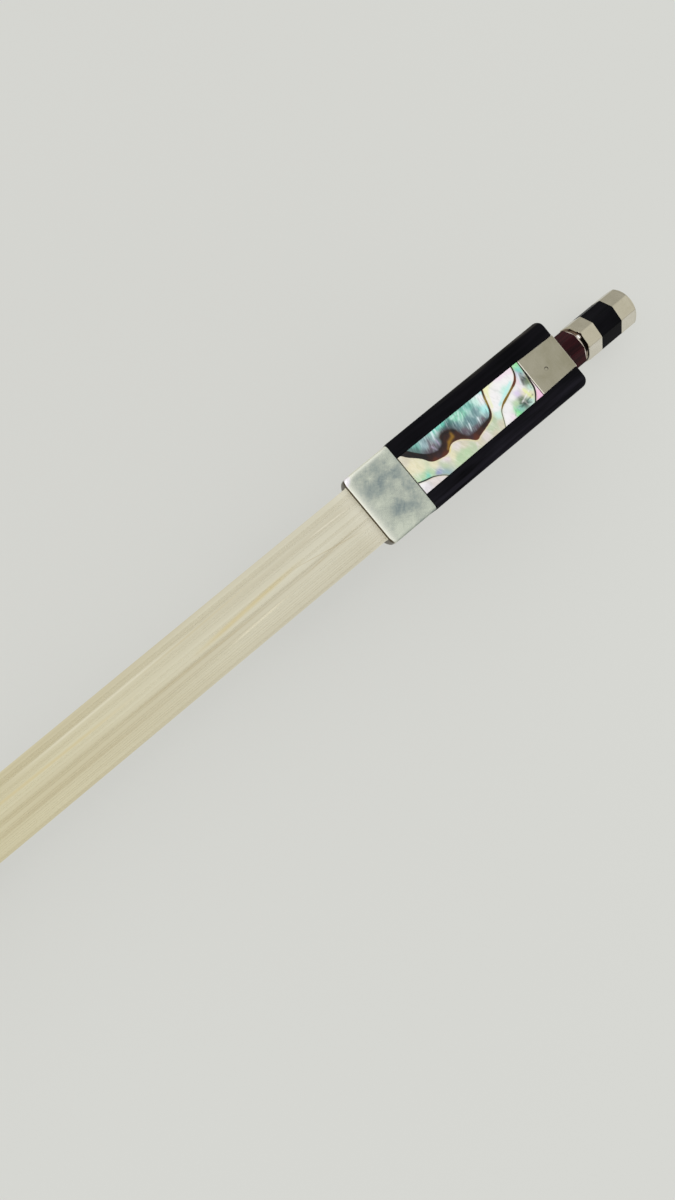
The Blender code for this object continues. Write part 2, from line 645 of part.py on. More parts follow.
def dovetail(x_low, x_high, z_low, z_high, grow=0.0):
    """A stretch of the slide's dovetail between two heights."""
    rings = []
    for x in (x_low, x_high):
        low = slide_half_width(x, FACE_Z - z_low) + grow
        high = slide_half_width(x, FACE_Z - z_high) + grow
        rings.append((x, [(-low, z_low), (low, z_low), (high, z_high), (-high, z_high)]))
    return bar(rings)


def heel_plate_half(x):
    """Half width of the lower heel plate at place x."""
    run = (x - PLATE_FRONT_X) / HEEL_PLATE_LENGTH
    return (SLIDE_WIDTH_REAR + (HEEL_PLATE_WIDTH_REAR - SLIDE_WIDTH_REAR) * run) / 2


def heel_plate_bar(x_low, x_high, z_low, z_high, grow=0.0):
    """A stretch of the lower heel plate, or of the recess that it lies in."""
    rings = []
    for x in (x_low, x_high):
        half = heel_plate_half(x) + grow
        rings.append((x, [(-half, z_low), (half, z_low), (half, z_high), (-half, z_high)]))
    return bar(rings)


def cheek_surface(z):
    """Distance from the plane of symmetry to the hollowed cheek at height z."""
    radius, centre_y, centre_z = cheek_circle()
    return centre_y - math.sqrt(radius ** 2 - (z - centre_z) ** 2)


def cheek_circle():
    """Radius and centre of the round that hollows a cheek, from the waist up to the rail."""
    half = FROG_WIDTH_HEEL / 2
    waist = CHEEK_WAIST / 2
    rise = HAIR_HEIGHT - RAIL_HEIGHT - CHEEK_WAIST_HEIGHT
    sag = half - waist
    radius = (rise ** 2 + sag ** 2) / (2 * sag)
    return radius, waist + radius, AXIS_Z + CHEEK_WAIST_HEIGHT


def make_frog_body(ebony):
    """The ebony block: throat, hollowed cheeks, seat, tongue, dovetail, mortise and recesses."""
    plan = prism(frog_plan_outline(), "XY", AXIS_Z, FACE_Z, rounding=FROG_EDGE_ROUNDING)
    frog = add_part("frog_body", plan, ebony, 30)
    width = FROG_WIDTH_HEEL + 2 * OVERCUT
    side = add_cutter("frog_side_form", prism(frog_side_outline(), "XZ", -width / 2, width / 2))
    combine(frog, side, "INTERSECT")
    tongue_outline = ferrule_outline(FERRULE_WALL + SEAT_GAP)
    tongue = prism(tongue_outline, "YZ", MOUTH_X + TONGUE_SETBACK, SHOULDER_X + OVERCUT)
    combine(frog, add_cutter("tongue_form", tongue), "UNION")
    wedge_bed = box(MOUTH_X - OVERCUT, SHOULDER_X, FROG_WIDTH_FRONT + OVERCUT, TONGUE_TOP, FACE_Z + OVERCUT)
    combine(frog, add_cutter("wedge_bed", wedge_bed), "DIFFERENCE")
    radius, centre_y, centre_z = cheek_circle()
    length = HEEL_X - THUMB_X + 2 * OVERCUT
    for name, sign in (("left", 1), ("right", -1)):
        hollow = rod((THUMB_X - OVERCUT, sign * centre_y, centre_z), "X", radius, length, steps=CHEEK_STEPS)
        combine(frog, add_cutter("cheek_hollow_" + name, hollow), "DIFFERENCE")
    seat = octagon_rod(THUMB_X - OVERCUT, HEEL_X + OVERCUT, 2 * SEAT_INNER)
    combine(frog, add_cutter("stick_seat", seat), "DIFFERENCE")
    slot = dovetail(SHOULDER_X - OVERCUT, PLATE_FRONT_X - SEAT_GAP, SLOT_FLOOR, FACE_Z + OVERCUT, SEAT_GAP)
    combine(frog, add_cutter("slide_slot", slot), "DIFFERENCE")
    mortise = box(MOUTH_X + MORTISE_START, MOUTH_X + MORTISE_START + MORTISE_LENGTH, MORTISE_WIDTH,
                  SLOT_FLOOR - MORTISE_DEPTH, SLOT_FLOOR + OVERCUT)
    combine(frog, add_cutter("frog_mortise", mortise), "DIFFERENCE")
    plate_low = FACE_Z - HEEL_PLATE_THICKNESS - SEAT_GAP
    recess = heel_plate_bar(PLATE_FRONT_X - 2 * SEAT_GAP, HEEL_X + OVERCUT, plate_low, FACE_Z + OVERCUT,
                            SEAT_GAP)
    combine(frog, add_cutter("lower_plate_recess", recess), "DIFFERENCE")
    rear_recess = box(HEEL_X - REAR_PLATE_THICKNESS - SEAT_GAP, HEEL_X + OVERCUT,
                      HEEL_PLATE_WIDTH_REAR + 2 * SEAT_GAP,
                      FACE_Z - HEEL_PLATE_THICKNESS - REAR_PLATE_HEIGHT - SEAT_GAP, FACE_Z)
    combine(frog, add_cutter("rear_plate_recess", rear_recess), "DIFFERENCE")
    return frog


def make_heel_plates(frog, silver):
    """The two heel plates and their pins, let into the ebony."""
    top = FACE_Z
    low = top - HEEL_PLATE_THICKNESS
    lower = add_part("heel_plate_lower", heel_plate_bar(PLATE_FRONT_X, HEEL_X, low, top), silver)
    rear_top = low - SEAT_GAP
    rear = add_part("heel_plate_rear",
                    box(HEEL_X - REAR_PLATE_THICKNESS, HEEL_X, HEEL_PLATE_WIDTH_REAR,
                        rear_top - REAR_PLATE_HEIGHT + SEAT_GAP, rear_top), silver)
    lower_pin_x = HEEL_X - PLATE_PIN_FROM_HEEL
    lower_pin_y = -PLATE_PIN_OFFSET
    rear_pin_z = rear_top - REAR_PLATE_HEIGHT / 2
    pin = PLATE_PIN_DIAMETER / 2
    cutters = {
        "lower_pin_hole": (lower, rod((lower_pin_x, lower_pin_y, top - PLATE_PIN_LENGTH - SEAT_GAP), "Z",
                                      pin + SEAT_GAP, PLATE_PIN_LENGTH + OVERCUT, 12)),
        "rear_pin_hole": (rear, rod((HEEL_X - PLATE_PIN_LENGTH - SEAT_GAP, 0, rear_pin_z), "X",
                                    pin + SEAT_GAP, PLATE_PIN_LENGTH + OVERCUT, 12)),
    }
    for name, (plate, hole) in cutters.items():
        hole = add_cutter(name, hole)
        combine(plate, hole, "DIFFERENCE")
        combine(frog, hole, "DIFFERENCE")
    lower_pin = rod((lower_pin_x, lower_pin_y, top - PLATE_PIN_LENGTH), "Z", pin, PLATE_PIN_LENGTH, 12)
    rear_pin = rod((HEEL_X - PLATE_PIN_LENGTH, 0, rear_pin_z), "X", pin, PLATE_PIN_LENGTH, 12)
    add_part("heel_pin_lower", lower_pin, silver, 30)
    add_part("heel_pin_rear", rear_pin, silver, 30)


def make_slide(shell, bed_wood):
    """The slide: a dovetailed bed with the shell plate on it."""
    front = SHOULDER_X + SEAT_GAP
    rear = PLATE_FRONT_X - 3 * SEAT_GAP
    shell_low = FACE_Z - SHELL_THICKNESS
    bed_top = shell_low - SEAT_GAP
    add_part("slide_shell", dovetail(front, rear, shell_low, FACE_Z), shell)
    add_part("slide_bed", dovetail(front, rear, bed_top - BED_THICKNESS, bed_top), bed_wood)


def make_frog_hair(hair, plug_wood, wedge_wood):
    """The hair inside the frog with its knot, the plug that locks it and the wedge in the ferrule."""
    mortise_x = MOUTH_X + MORTISE_START
    under_slide = FACE_Z - SHELL_THICKNESS - BED_THICKNESS - 2 * SEAT_GAP
    drop_x = mortise_x + SEAT_GAP + KNOT_DIAMETER / 2
    knot_z = SLOT_FLOOR - MORTISE_DEPTH + SEAT_GAP + KNOT_DIAMETER / 2
    mouth_half = HAIR_WIDTH_FROG / 2
    inner_half = HAIR_WIDTH_MORTISE / 2

    def section(half, top):
        return [(-half, top - HAIR_THICKNESS), (half, top - HAIR_THICKNESS), (half, top), (-half, top)]

    tail = bar([
        (MOUTH_X, section(mouth_half, HAIR_TOP_FROG)),
        (MOUTH_X + WEDGE_LENGTH, section(inner_half + SEAT_GAP, HAIR_TOP_FROG)),
        (SHOULDER_X + SEAT_GAP, section(inner_half, under_slide)),
        (drop_x + HAIR_THICKNESS, section(inner_half, under_slide)),
    ])
    tail = add_part("frog_hair_tail", tail, hair)
    drop = box(drop_x, drop_x + HAIR_THICKNESS, HAIR_WIDTH_MORTISE, knot_z, under_slide)
    combine(tail, add_cutter("frog_hair_drop", drop), "UNION")
    knot = rod((drop_x, -inner_half, knot_z), "Y", KNOT_DIAMETER / 2, HAIR_WIDTH_MORTISE)
    combine(tail, add_cutter("frog_hair_knot", knot), "UNION")
    plug_front = drop_x + KNOT_DIAMETER / 2 + SEAT_GAP
    plug_rear = mortise_x + MORTISE_LENGTH - SEAT_GAP
    add_part("frog_mortise_plug",
             box(plug_front, plug_rear, MORTISE_WIDTH - 2 * SEAT_GAP,
                 SLOT_FLOOR - MORTISE_DEPTH + SEAT_GAP, under_slide - SEAT_GAP), plug_wood)
    front = MOUTH_X + WEDGE_SETBACK
    half = HAIR_WIDTH_FROG / 2
    wedge_top = HAIR_FLOOR_FROG
    rear_top = TONGUE_TOP + SEAT_GAP + WEDGE_TAIL_THICKNESS
    wedge_low = TONGUE_TOP + SEAT_GAP
    outline = [(front, wedge_low), (front + WEDGE_LENGTH, wedge_low), (front + WEDGE_LENGTH, rear_top),
               (front, wedge_top)]
    add_part("ferrule_wedge", prism(outline, "XZ", -half, half), wedge_wood)


def lining_outline():
    """Half of the lining's inner surface, from the middle of its floor to its lip."""
    a = LINING_INNER
    corner = a * math.tan(OCTANT)
    lip_drop = a - FROG_LIP_HEIGHT - SEAT_GAP
    return [(0, a), (corner, a), (corner + lip_drop, a - lip_drop)]


def make_underslide(frog, silver):
    """The metal lining of the frog's seat, folded over three facets of the stick, with its pins."""
    half = lining_outline()
    path = [(-y, w) for y, w in reversed(half[1:])] + half
    bm = bmesh.new()
    front = THUMB_X + SEAT_GAP
    rear = HEEL_X - HEEL_FOOT_SETBACK - SEAT_GAP
    rows = [[bm.verts.new((x, y, AXIS_Z + w)) for y, w in path] for x in (front, rear)]
    for i in range(len(path) - 1):
        bm.faces.new((rows[0][i], rows[0][i + 1], rows[1][i + 1], rows[1][i]))
    bmesh.ops.recalc_face_normals(bm, faces=bm.faces)
    if bm.faces[:][1].normal.z < 0:
        bmesh.ops.reverse_faces(bm, faces=bm.faces)
    lining = add_part("underslide", bm, silver)
    shell = lining.modifiers.new("sheet", "SOLIDIFY")
    shell.thickness = UNDERSLIDE_THICKNESS
    shell.offset = 1.0
    shell.use_even_offset = True
    shank_hole = rod((EYELET_X, 0, AXIS_Z), "Z", EYELET_SHANK_DIAMETER / 2 + SEAT_GAP,
                     STICK_RADIUS + EYELET_SHANK_LENGTH + SEAT_GAP)
    shank_hole = add_cutter("eyelet_hole", shank_hole)
    combine(lining, shank_hole, "DIFFERENCE")
    combine(frog, shank_hole, "DIFFERENCE")
    pin_low = AXIS_Z + LINING_INNER
    behind_throat = MOUTH_X + THROAT_DEPTH + UNDERSLIDE_PIN_INSET
    for name, x in (("front", behind_throat), ("rear", rear - UNDERSLIDE_PIN_INSET)):
        hole = rod((x, 0, pin_low - OVERCUT), "Z", UNDERSLIDE_PIN_DIAMETER / 2 + SEAT_GAP,
                   OVERCUT + UNDERSLIDE_PIN_LENGTH + SEAT_GAP, 12)
        hole = add_cutter("underslide_pin_hole_" + name, hole)
        combine(lining, hole, "DIFFERENCE")
        combine(frog, hole, "DIFFERENCE")
        pin = rod((x, 0, pin_low), "Z", UNDERSLIDE_PIN_DIAMETER / 2, UNDERSLIDE_PIN_LENGTH, 12)
        add_part("underslide_pin_" + name, pin, silver, 30)


def make_eyelet(brass):
    """The nut that hangs from the frog into the stick's slot, with the screw's hole through it."""
    low = AXIS_Z - EYELET_HEIGHT / 2
    top = AXIS_Z + EYELET_HEIGHT / 2
    block = box(EYELET_X - EYELET_LENGTH / 2, EYELET_X + EYELET_LENGTH / 2, EYELET_WIDTH, low, top)
    eyelet = add_part("eyelet", block, brass, 30)
    shank_top = AXIS_Z + STICK_RADIUS + EYELET_SHANK_LENGTH
    shank = rod((EYELET_X, 0, top - OVERCUT), "Z", EYELET_SHANK_DIAMETER / 2, shank_top - top + OVERCUT)
    combine(eyelet, add_cutter("eyelet_shank", shank), "UNION")
    hole = rod((EYELET_X - EYELET_LENGTH, 0, AXIS_Z), "X", SCREW_DIAMETER / 2 + SEAT_GAP, 2 * EYELET_LENGTH)
    combine(eyelet, add_cutter("eyelet_thread_hole", hole), "DIFFERENCE")


def make_eyes(frog, shell, silver):
    """A shell disc in a metal ring on each cheek."""
    z = AXIS_Z + EYE_HEIGHT
    face = cheek_surface(z)
    disc = EYE_DISC_DIAMETER / 2
    ring = EYE_RING_DIAMETER / 2
    for side, sign in (("left", 1), ("right", -1)):
        low = min(sign * face, sign * (face - EYE_DEPTH))
        cut_low = min(sign * (face + OVERCUT), sign * (face - EYE_DEPTH - SEAT_GAP))
        recess = rod((EYE_X, cut_low, z), "Y", ring + SEAT_GAP, EYE_DEPTH + SEAT_GAP + OVERCUT, 24)
        combine(frog, add_cutter("eye_recess_" + side, recess), "DIFFERENCE")
        add_part("eye_disc_" + side, rod((EYE_X, low, z), "Y", disc, EYE_DEPTH, 24), shell, 30)
        band = add_part("eye_ring_" + side, rod((EYE_X, low, z), "Y", ring, EYE_DEPTH, 24), silver, 30)
        inner = rod((EYE_X, low - OVERCUT, z), "Y", disc + SEAT_GAP, EYE_DEPTH + 2 * OVERCUT, 24)
        combine(band, add_cutter("eye_ring_bore_" + side, inner), "DIFFERENCE")


def octagon_ring(flats):
    """Corners of an octagon about the screw's axis, as (y, z), with a flat towards the hair."""
    reach = flats / 2 / math.cos(OCTANT)
    angles = [OCTANT * (2 * k + 1) for k in range(8)]
    return [(reach * math.cos(a), AXIS_Z + reach * math.sin(a)) for a in angles]


def make_grip(leather, winding):
    """The thumb leather and the wire winding in front of it."""
    inner = octagon_ring(STICK_FLATS + 2 * SEAT_GAP)
    leather_rear = THUMB_X - LEATHER_GAP
    leather_front = leather_rear - LEATHER_LENGTH
    outer = octagon_ring(STICK_FLATS + 2 * (SEAT_GAP + LEATHER_THICKNESS))
    sleeve = add_part("thumb_leather", prism(outer, "YZ", leather_front, leather_rear, hole=inner), leather)
    soft = sleeve.modifiers.new("worn_edges", "BEVEL")
    soft.width = LEATHER_EDGE_WEAR
    soft.segments = 2
    soft.limit_method = "ANGLE"
    soft.angle_limit = math.radians(40)
    winding_rear = leather_front - SEAT_GAP
    winding_front = winding_rear - WINDING_LENGTH
    crest = octagon_ring(STICK_FLATS + 2 * (SEAT_GAP + WINDING_THICKNESS))
    groove = octagon_ring(STICK_FLATS + 2 * SEAT_GAP + WINDING_THICKNESS)
    pitch = WINDING_LENGTH / WINDING_TURNS
    sections = [(winding_front, groove)]
    for turn in range(WINDING_TURNS):
        start = winding_front + turn * pitch
        sections.append((start + pitch * WINDING_GROOVE_SHARE, crest))
        sections.append((start + pitch * (1 - WINDING_GROOVE_SHARE), crest))
        sections.append((start + pitch, groove))
    wrap = add_part("winding", bar(sections), winding)
    core = octagon_rod(winding_front - OVERCUT, winding_rear + OVERCUT, STICK_FLATS + 2 * SEAT_GAP)
    combine(wrap, add_cutter("winding_core", core), "DIFFERENCE")


def make_button(silver, ebony, steel):
    """The three-part button and the screw that it turns."""
    ring_end = BUTTON_X + BUTTON_RING_LENGTH
    core_end = ring_end + BUTTON_CORE_LENGTH
    corner = BUTTON_FLATS / 2 / math.cos(OCTANT) + OVERCUT
    bead = BEAD_DIAMETER / 2
    cove = bead - COVE_DEPTH
    plug = CORE_PLUG_DIAMETER / 2
    screw_radius = SCREW_DIAMETER / 2

    ring_form = octagon_rod(BUTTON_X, ring_end - SEAT_GAP / 2, BUTTON_FLATS, BUTTON_ROLL)
    ring = add_part("button_ring", ring_form, silver)
    shoulder = BUTTON_X + COLLAR_LENGTH
    step_end = shoulder + (corner + OVERCUT - cove) / math.tan(COLLAR_STEP_ANGLE)
    collar_form = turn_about_axis("collar_form", [
        (ring_end + OVERCUT, 0), (ring_end + OVERCUT, corner + OVERCUT), (step_end, corner + OVERCUT),
        (shoulder, cove), (BUTTON_X + BEAD_LENGTH + COVE_DEPTH, cove), (BUTTON_X + BEAD_LENGTH, bead),
        (BUTTON_X + BEAD_EDGE, bead), (BUTTON_X, bead - BEAD_EDGE), (BUTTON_X, 0)])
    combine(ring, collar_form, "INTERSECT")
    bore = turn_about_axis("ring_bore", [
        (ring_end + OVERCUT, 0), (ring_end + OVERCUT, plug + SEAT_GAP),
        (BUTTON_X + RING_BORE_DEPTH, plug + SEAT_GAP),
        (BUTTON_X + RING_BORE_DEPTH, NIPPLE_DIAMETER / 2 + RUN_GAP),
        (BUTTON_X - OVERCUT, NIPPLE_DIAMETER / 2 + RUN_GAP), (BUTTON_X - OVERCUT, 0)])
    combine(ring, bore, "DIFFERENCE")

    core_form = octagon_rod(ring_end + SEAT_GAP / 2, core_end - SEAT_GAP / 2, BUTTON_FLATS, BUTTON_ROLL)
    core = add_part("button_core", core_form, ebony)
    cap_floor = BOW_END - CAP_END_WALL
    spindle = rod((BUTTON_X + RING_BORE_DEPTH, 0, AXIS_Z), "X", plug,
                  cap_floor - SEAT_GAP - BUTTON_X - RING_BORE_DEPTH, ROUND_STEPS)
    combine(core, add_cutter("core_spindle", spindle), "UNION")
    screw_hole = rod((BUTTON_X, 0, AXIS_Z), "X", screw_radius + SEAT_GAP, SCREW_IN_BUTTON + SEAT_GAP)
    combine(core, add_cutter("core_screw_hole", screw_hole), "DIFFERENCE")

    cap_body = octagon_rod(core_end + SEAT_GAP / 2, BOW_END, BUTTON_FLATS, BUTTON_ROLL)
    cap = add_part("button_cap", cap_body, silver)
    rounding = [(BOW_END - CAP_EDGE_DEPTH * (1 - along), CAP_END_DIAMETER / 2 + CAP_EDGE_WIDTH * out)
                for along, out in arc((0, 0), 1, 0, CAP_EDGE_END, 5)]
    slope_x, slope_radius = rounding[-1]
    slope = CAP_EDGE_DEPTH / CAP_EDGE_WIDTH * math.tan(math.radians(CAP_EDGE_END))
    run = (corner + OVERCUT - slope_radius) * slope
    cap_form = turn_about_axis("cap_form", [(BOW_END, 0)] + rounding + [
        (slope_x - run, corner + OVERCUT), (core_end - OVERCUT, corner + OVERCUT), (core_end - OVERCUT, 0)])
    combine(cap, cap_form, "INTERSECT")
    cap_bore = rod((core_end - OVERCUT, 0, AXIS_Z), "X", plug + SEAT_GAP, cap_floor - core_end + OVERCUT,
                   ROUND_STEPS)
    combine(cap, add_cutter("cap_bore", cap_bore), "DIFFERENCE")

    screw_rear = BUTTON_X + SCREW_IN_BUTTON
    point = SCREW_POINT_DIAMETER / 2
    turn_about_axis("screw", [
        (screw_rear, 0), (screw_rear, screw_radius), (SCREW_FRONT_X + SCREW_POINT_LENGTH, screw_radius),
        (SCREW_FRONT_X + SCREW_POINT_LENGTH - (screw_radius - point), point),
        (SCREW_FRONT_X, point), (SCREW_FRONT_X, 0)], steel, steps=SMALL_STEPS)


def build():
    """Makes every piece of the bow."""
    wood = new_material("red_brown_wood", (0.065, 0.018, 0.016), 0.35)
    ebony = new_material("ebony", (0.008, 0.008, 0.009), 0.35)
    silver = new_material("nickel_silver", (0.55, 0.52, 0.42), 0.32, 1.0)
    brass = new_material("brass", (0.6, 0.42, 0.16), 0.35, 1.0)
    steel = new_material("steel", (0.5, 0.5, 0.5), 0.3, 1.0)
    shell = new_material("abalone", (0.55, 0.68, 0.6), 0.2)
    hair = new_material("horse_hair", (0.66, 0.62, 0.47), 0.55)
    bone = new_material("bone", (0.78, 0.74, 0.62), 0.4)
    fibre = new_material("black_fibre", (0.015, 0.013, 0.012), 0.6)
    wedge_wood = new_material("maple", (0.55, 0.4, 0.25), 0.6)
    leather = new_material("leather", (0.03, 0.018, 0.012), 0.7)
    winding = new_material("silver_wire", (0.6, 0.58, 0.52), 0.3, 1.0)
    make_stick(wood)
    make_head_fittings(bone, fibre, wedge_wood, hair)
    make_hair_ribbon(hair)
    make_ferrule(silver)
    frog = make_frog_body(ebony)
    make_heel_plates(frog, silver)
    make_slide(shell, ebony)
    make_frog_hair(hair, wedge_wood, wedge_wood)
    make_underslide(frog, silver)
    make_eyelet(brass)
    make_eyes(frog, shell, silver)
    make_grip(leather, winding)
    make_button(silver, ebony, steel)


clear_scene()
PARTS = new_collection("viola_bow")
CUTTERS = new_collection("cutters")
build()
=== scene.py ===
"""Looks of the viola bow: finishes, fine forms, separate hairs and the wire winding."""
import math
import random

import bmesh
import bpy
import numpy as np
from mathutils import Matrix, Vector


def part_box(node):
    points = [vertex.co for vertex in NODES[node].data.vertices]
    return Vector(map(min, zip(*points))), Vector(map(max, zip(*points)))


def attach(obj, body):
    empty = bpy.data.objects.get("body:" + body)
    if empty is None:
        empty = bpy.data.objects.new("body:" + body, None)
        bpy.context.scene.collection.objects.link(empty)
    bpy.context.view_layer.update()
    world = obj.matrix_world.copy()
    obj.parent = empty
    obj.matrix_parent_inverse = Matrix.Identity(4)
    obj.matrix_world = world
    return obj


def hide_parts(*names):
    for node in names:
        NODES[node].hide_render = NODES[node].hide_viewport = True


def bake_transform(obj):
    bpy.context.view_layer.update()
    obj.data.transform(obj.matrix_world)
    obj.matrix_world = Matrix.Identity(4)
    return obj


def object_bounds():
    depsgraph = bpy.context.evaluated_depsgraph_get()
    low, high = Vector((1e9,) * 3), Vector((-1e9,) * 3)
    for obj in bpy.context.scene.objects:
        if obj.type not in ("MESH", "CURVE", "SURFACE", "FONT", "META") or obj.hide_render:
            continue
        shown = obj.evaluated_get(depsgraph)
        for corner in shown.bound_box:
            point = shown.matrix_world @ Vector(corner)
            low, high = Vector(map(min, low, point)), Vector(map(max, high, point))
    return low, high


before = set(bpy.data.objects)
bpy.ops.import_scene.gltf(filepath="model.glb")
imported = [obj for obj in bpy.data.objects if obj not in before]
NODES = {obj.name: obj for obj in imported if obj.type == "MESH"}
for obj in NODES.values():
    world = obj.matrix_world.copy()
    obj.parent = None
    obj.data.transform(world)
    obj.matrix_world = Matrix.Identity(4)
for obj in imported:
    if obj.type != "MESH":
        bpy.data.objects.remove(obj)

CAD_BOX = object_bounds()
MM = 0.001

# Distance at which points are joined, and the angles from which an edge stays sharp
WELD = 2e-6
SHARP_DEGREES = 35
FLAT_DEGREES = 0.1

# Places that the frame gives
FERRULE_LOW, FERRULE_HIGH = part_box("ferrule")
SHELL_LOW, SHELL_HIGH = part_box("slide_shell")
PLATE_LOW, PLATE_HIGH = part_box("heel_plate_lower")
PIN_LOW, PIN_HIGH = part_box("heel_pin_lower")
RING_LOW, RING_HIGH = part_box("button_ring")
CAP_LOW, CAP_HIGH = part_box("button_cap")
SCREW_LOW, SCREW_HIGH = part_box("screw")
LEATHER_LOW, LEATHER_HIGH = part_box("thumb_leather")
WINDING_LOW, WINDING_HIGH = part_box("winding")
HAIR_LOW, HAIR_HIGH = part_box("hair_ribbon")
FROG_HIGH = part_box("frog_body")[1]
MOUTH_X = FERRULE_LOW.x
FACE_Z = FERRULE_HIGH.z
AXIS_Z = (SCREW_LOW.z + SCREW_HIGH.z) / 2

# Camera of the photograph: focal length in pixels, and place from the ferrule's mouth
PHOTO_LONG_SIDE = 1200
FOCAL_PIXELS = 850
SENSOR_MM = 36
CAMERA_FROM_MOUTH = Vector((-40.66, -4.34, 152.58)) * MM
CAMERA_RIGHT = Vector((0.75335, -0.64114, 0.14626))
CAMERA_DOWN = Vector((-0.63595, -0.76691, -0.08614))

# Ferrule: EASE rounds its rear edge, and REACH covers the seam to the frog
FERRULE_WALL = 0.55 * MM
FERRULE_SIDE = 2.4 * MM
FERRULE_TOP_RADIUS = 0.9 * MM
FERRULE_FRONT_BEVEL = 0.4 * MM
FERRULE_PLAN_RADIUS = 1.1 * MM
FERRULE_LIP = 0.3 * MM
FERRULE_EASE = 0.06 * MM
FERRULE_REACH = 0.12 * MM
FERRULE_INNER_RADIUS = 0.2 * MM
FERRULE_CORNER_STEPS = 8
FERRULE_FLAT_STEPS = 64
FERRULE_ROUND_STEPS = 40
FERRULE_FRONT_STEPS = 18
FERRULE_LENGTH_STEPS = 44
BORE_DEPTHS_MM = (6.0, 2.0, 1.2, 0.8, 0.5, 0.3, 0.15, 0.02)

# Slide: EASE rounds its edges, and SUNK keeps it below the ferrule's face
SLIDE_FRONT_HALF = 4.3 * MM
SLIDE_REAR_HALF = 4.1 * MM
SLIDE_EASE = 0.05 * MM
SLIDE_SUNK = 0.02 * MM
SLIDE_ACROSS = 58
SLIDE_ALONG = 210

# Heel plate and its pin
HEEL_FRONT_HALF = 4.14 * MM
HEEL_REAR_HALF = 3.89 * MM
HEEL_BEVEL = 0.13 * MM
PIN_RADIUS = 0.35 * MM
PIN_DEPTH = 2 * MM
PIN_PROUD = 0.008 * MM
PIN_BEVEL = 0.06 * MM

# Button: REACH and JOIN close the seams, and UNCUT is a radius outside the octagon. Facets' places are in mm
BUTTON_FLATS = 9.05 * MM
BUTTON_ROLL = math.radians(8.0)
BUTTON_STEPS = 160
BUTTON_CORNERS = 400
BUTTON_REACH = 0.1 * MM
BUTTON_JOIN = 0.02 * MM
CORE_FLATS = BUTTON_FLATS - 0.06 * MM
TURNED_STEP = 0.12
UNCUT = 9.0
CAP_SEAM = 0.62
LOWER_FACET_Y = -2.49
HIGHLIGHT_Y = 0.9

# Turned profiles in mm: the ring's collar from its front, and the cap's edge back from its end, with radii
COLLAR = [
    (0.0, 3.3), (0.01, 3.95), (0.06, 4.09), (0.15, 4.15), (0.28, 4.15), (0.37, 4.08), (0.44, 3.98),
    (0.5, 3.94), (0.72, 3.94), (0.8, 3.98), (0.9, 4.2), (1.28, 5.1), (1.3, UNCUT),
]
CAP_EDGE = [
    (0.74, UNCUT), (0.72, 5.0), (0.56, 4.88), (0.38, 4.72), (0.22, 4.54), (0.14, 4.36), (0.08, 4.08),
    (0.03, 3.75), (0.0, 3.3), (0.0, 0.4),
]

# Stick
STICK_FLATS = 8.8 * MM
STICK_TIP_DIAMETER = 5.7 * MM
STICK_TAPER = 1.15
CAMBER_SLOPE = 0.123
CAMBER_START = 112 * MM
ROUNDING_LENGTH = 60 * MM
HEAD_THROAT_END = 25.8 * MM
HEAD_STUB = 4.0 * MM
HEAD_VOXEL = 0.34 * MM
HEAD_CUT_X = CAD_BOX[0].x + HEAD_THROAT_END + 2.5 * MM
STRAIGHT_END_X = MOUTH_X - CAMBER_START
STICK_HEAD_X = CAD_BOX[0].x + HEAD_THROAT_END - HEAD_STUB
STICK_STEPS = 48
STICK_CORNERS = 90
CAMBER_STATIONS = 90
SHAFT_GAP = 0.06 * MM
SHAFT_EASE = 0.12 * MM
SHAFT_END_SHARE = 0.97

# Thumb leather
LEATHER_CORNERS = 22
LEATHER_STEPS = 96
LEATHER_STATIONS = 60
LEATHER_EDGE = 0.18 * MM
LEATHER_SWELL = 0.85 * MM
SKIVE_LENGTH = 1.3 * MM
SEAM_DEPTH = 0.16 * MM
SEAM_DEGREES = 262
SEAM_HALF_DEGREES = 3.0

# Hair
HAIR_RIDGES = 78
HAIR_RIDGE_POINTS = 468
HAIR_RIDGE = 0.0022 * MM
HAIR_STRANDS = 36
STRAND_SIDES = 12
HAIR_STATIONS = 18
STRAND_RADIUS = 0.055 * MM
CORE_STATIONS = 40
HAIR_HEAD_HALF = 4.65 * MM
HAIR_FROG_HALF = 6.15 * MM
HAIR_EDGE_FALL = 0.14 * MM
HAIR_BELLY = 0.36 * MM

# Studio: the floor, the share of its tone that is its own light, and where the world is bright and dark
FLOOR_HALF = 6.0
FLOOR_GLOW = 0.8
BRIGHT_SIDE = (-0.75, 0.6, 0.2)
FLAG_SIDE = (0.75, 0.65, 0.1)

# Winding
WIRE_RADIUS = 0.17 * MM
WIRE_TURN_STEPS = 24
WIRE_SIDES = 6
WIRE_PITCH = 2.06 * WIRE_RADIUS
WIRE_LIFT = 0.1 * MM
WINDING_CORNERS = 26


def colour(red, green, blue):
    """An 8-bit display colour as linear values."""
    shares = [c / 255 for c in (red, green, blue)]
    return tuple(((c + 0.055) / 1.055) ** 2.4 if c > 0.04045 else c / 12.92 for c in shares) + (1.0,)


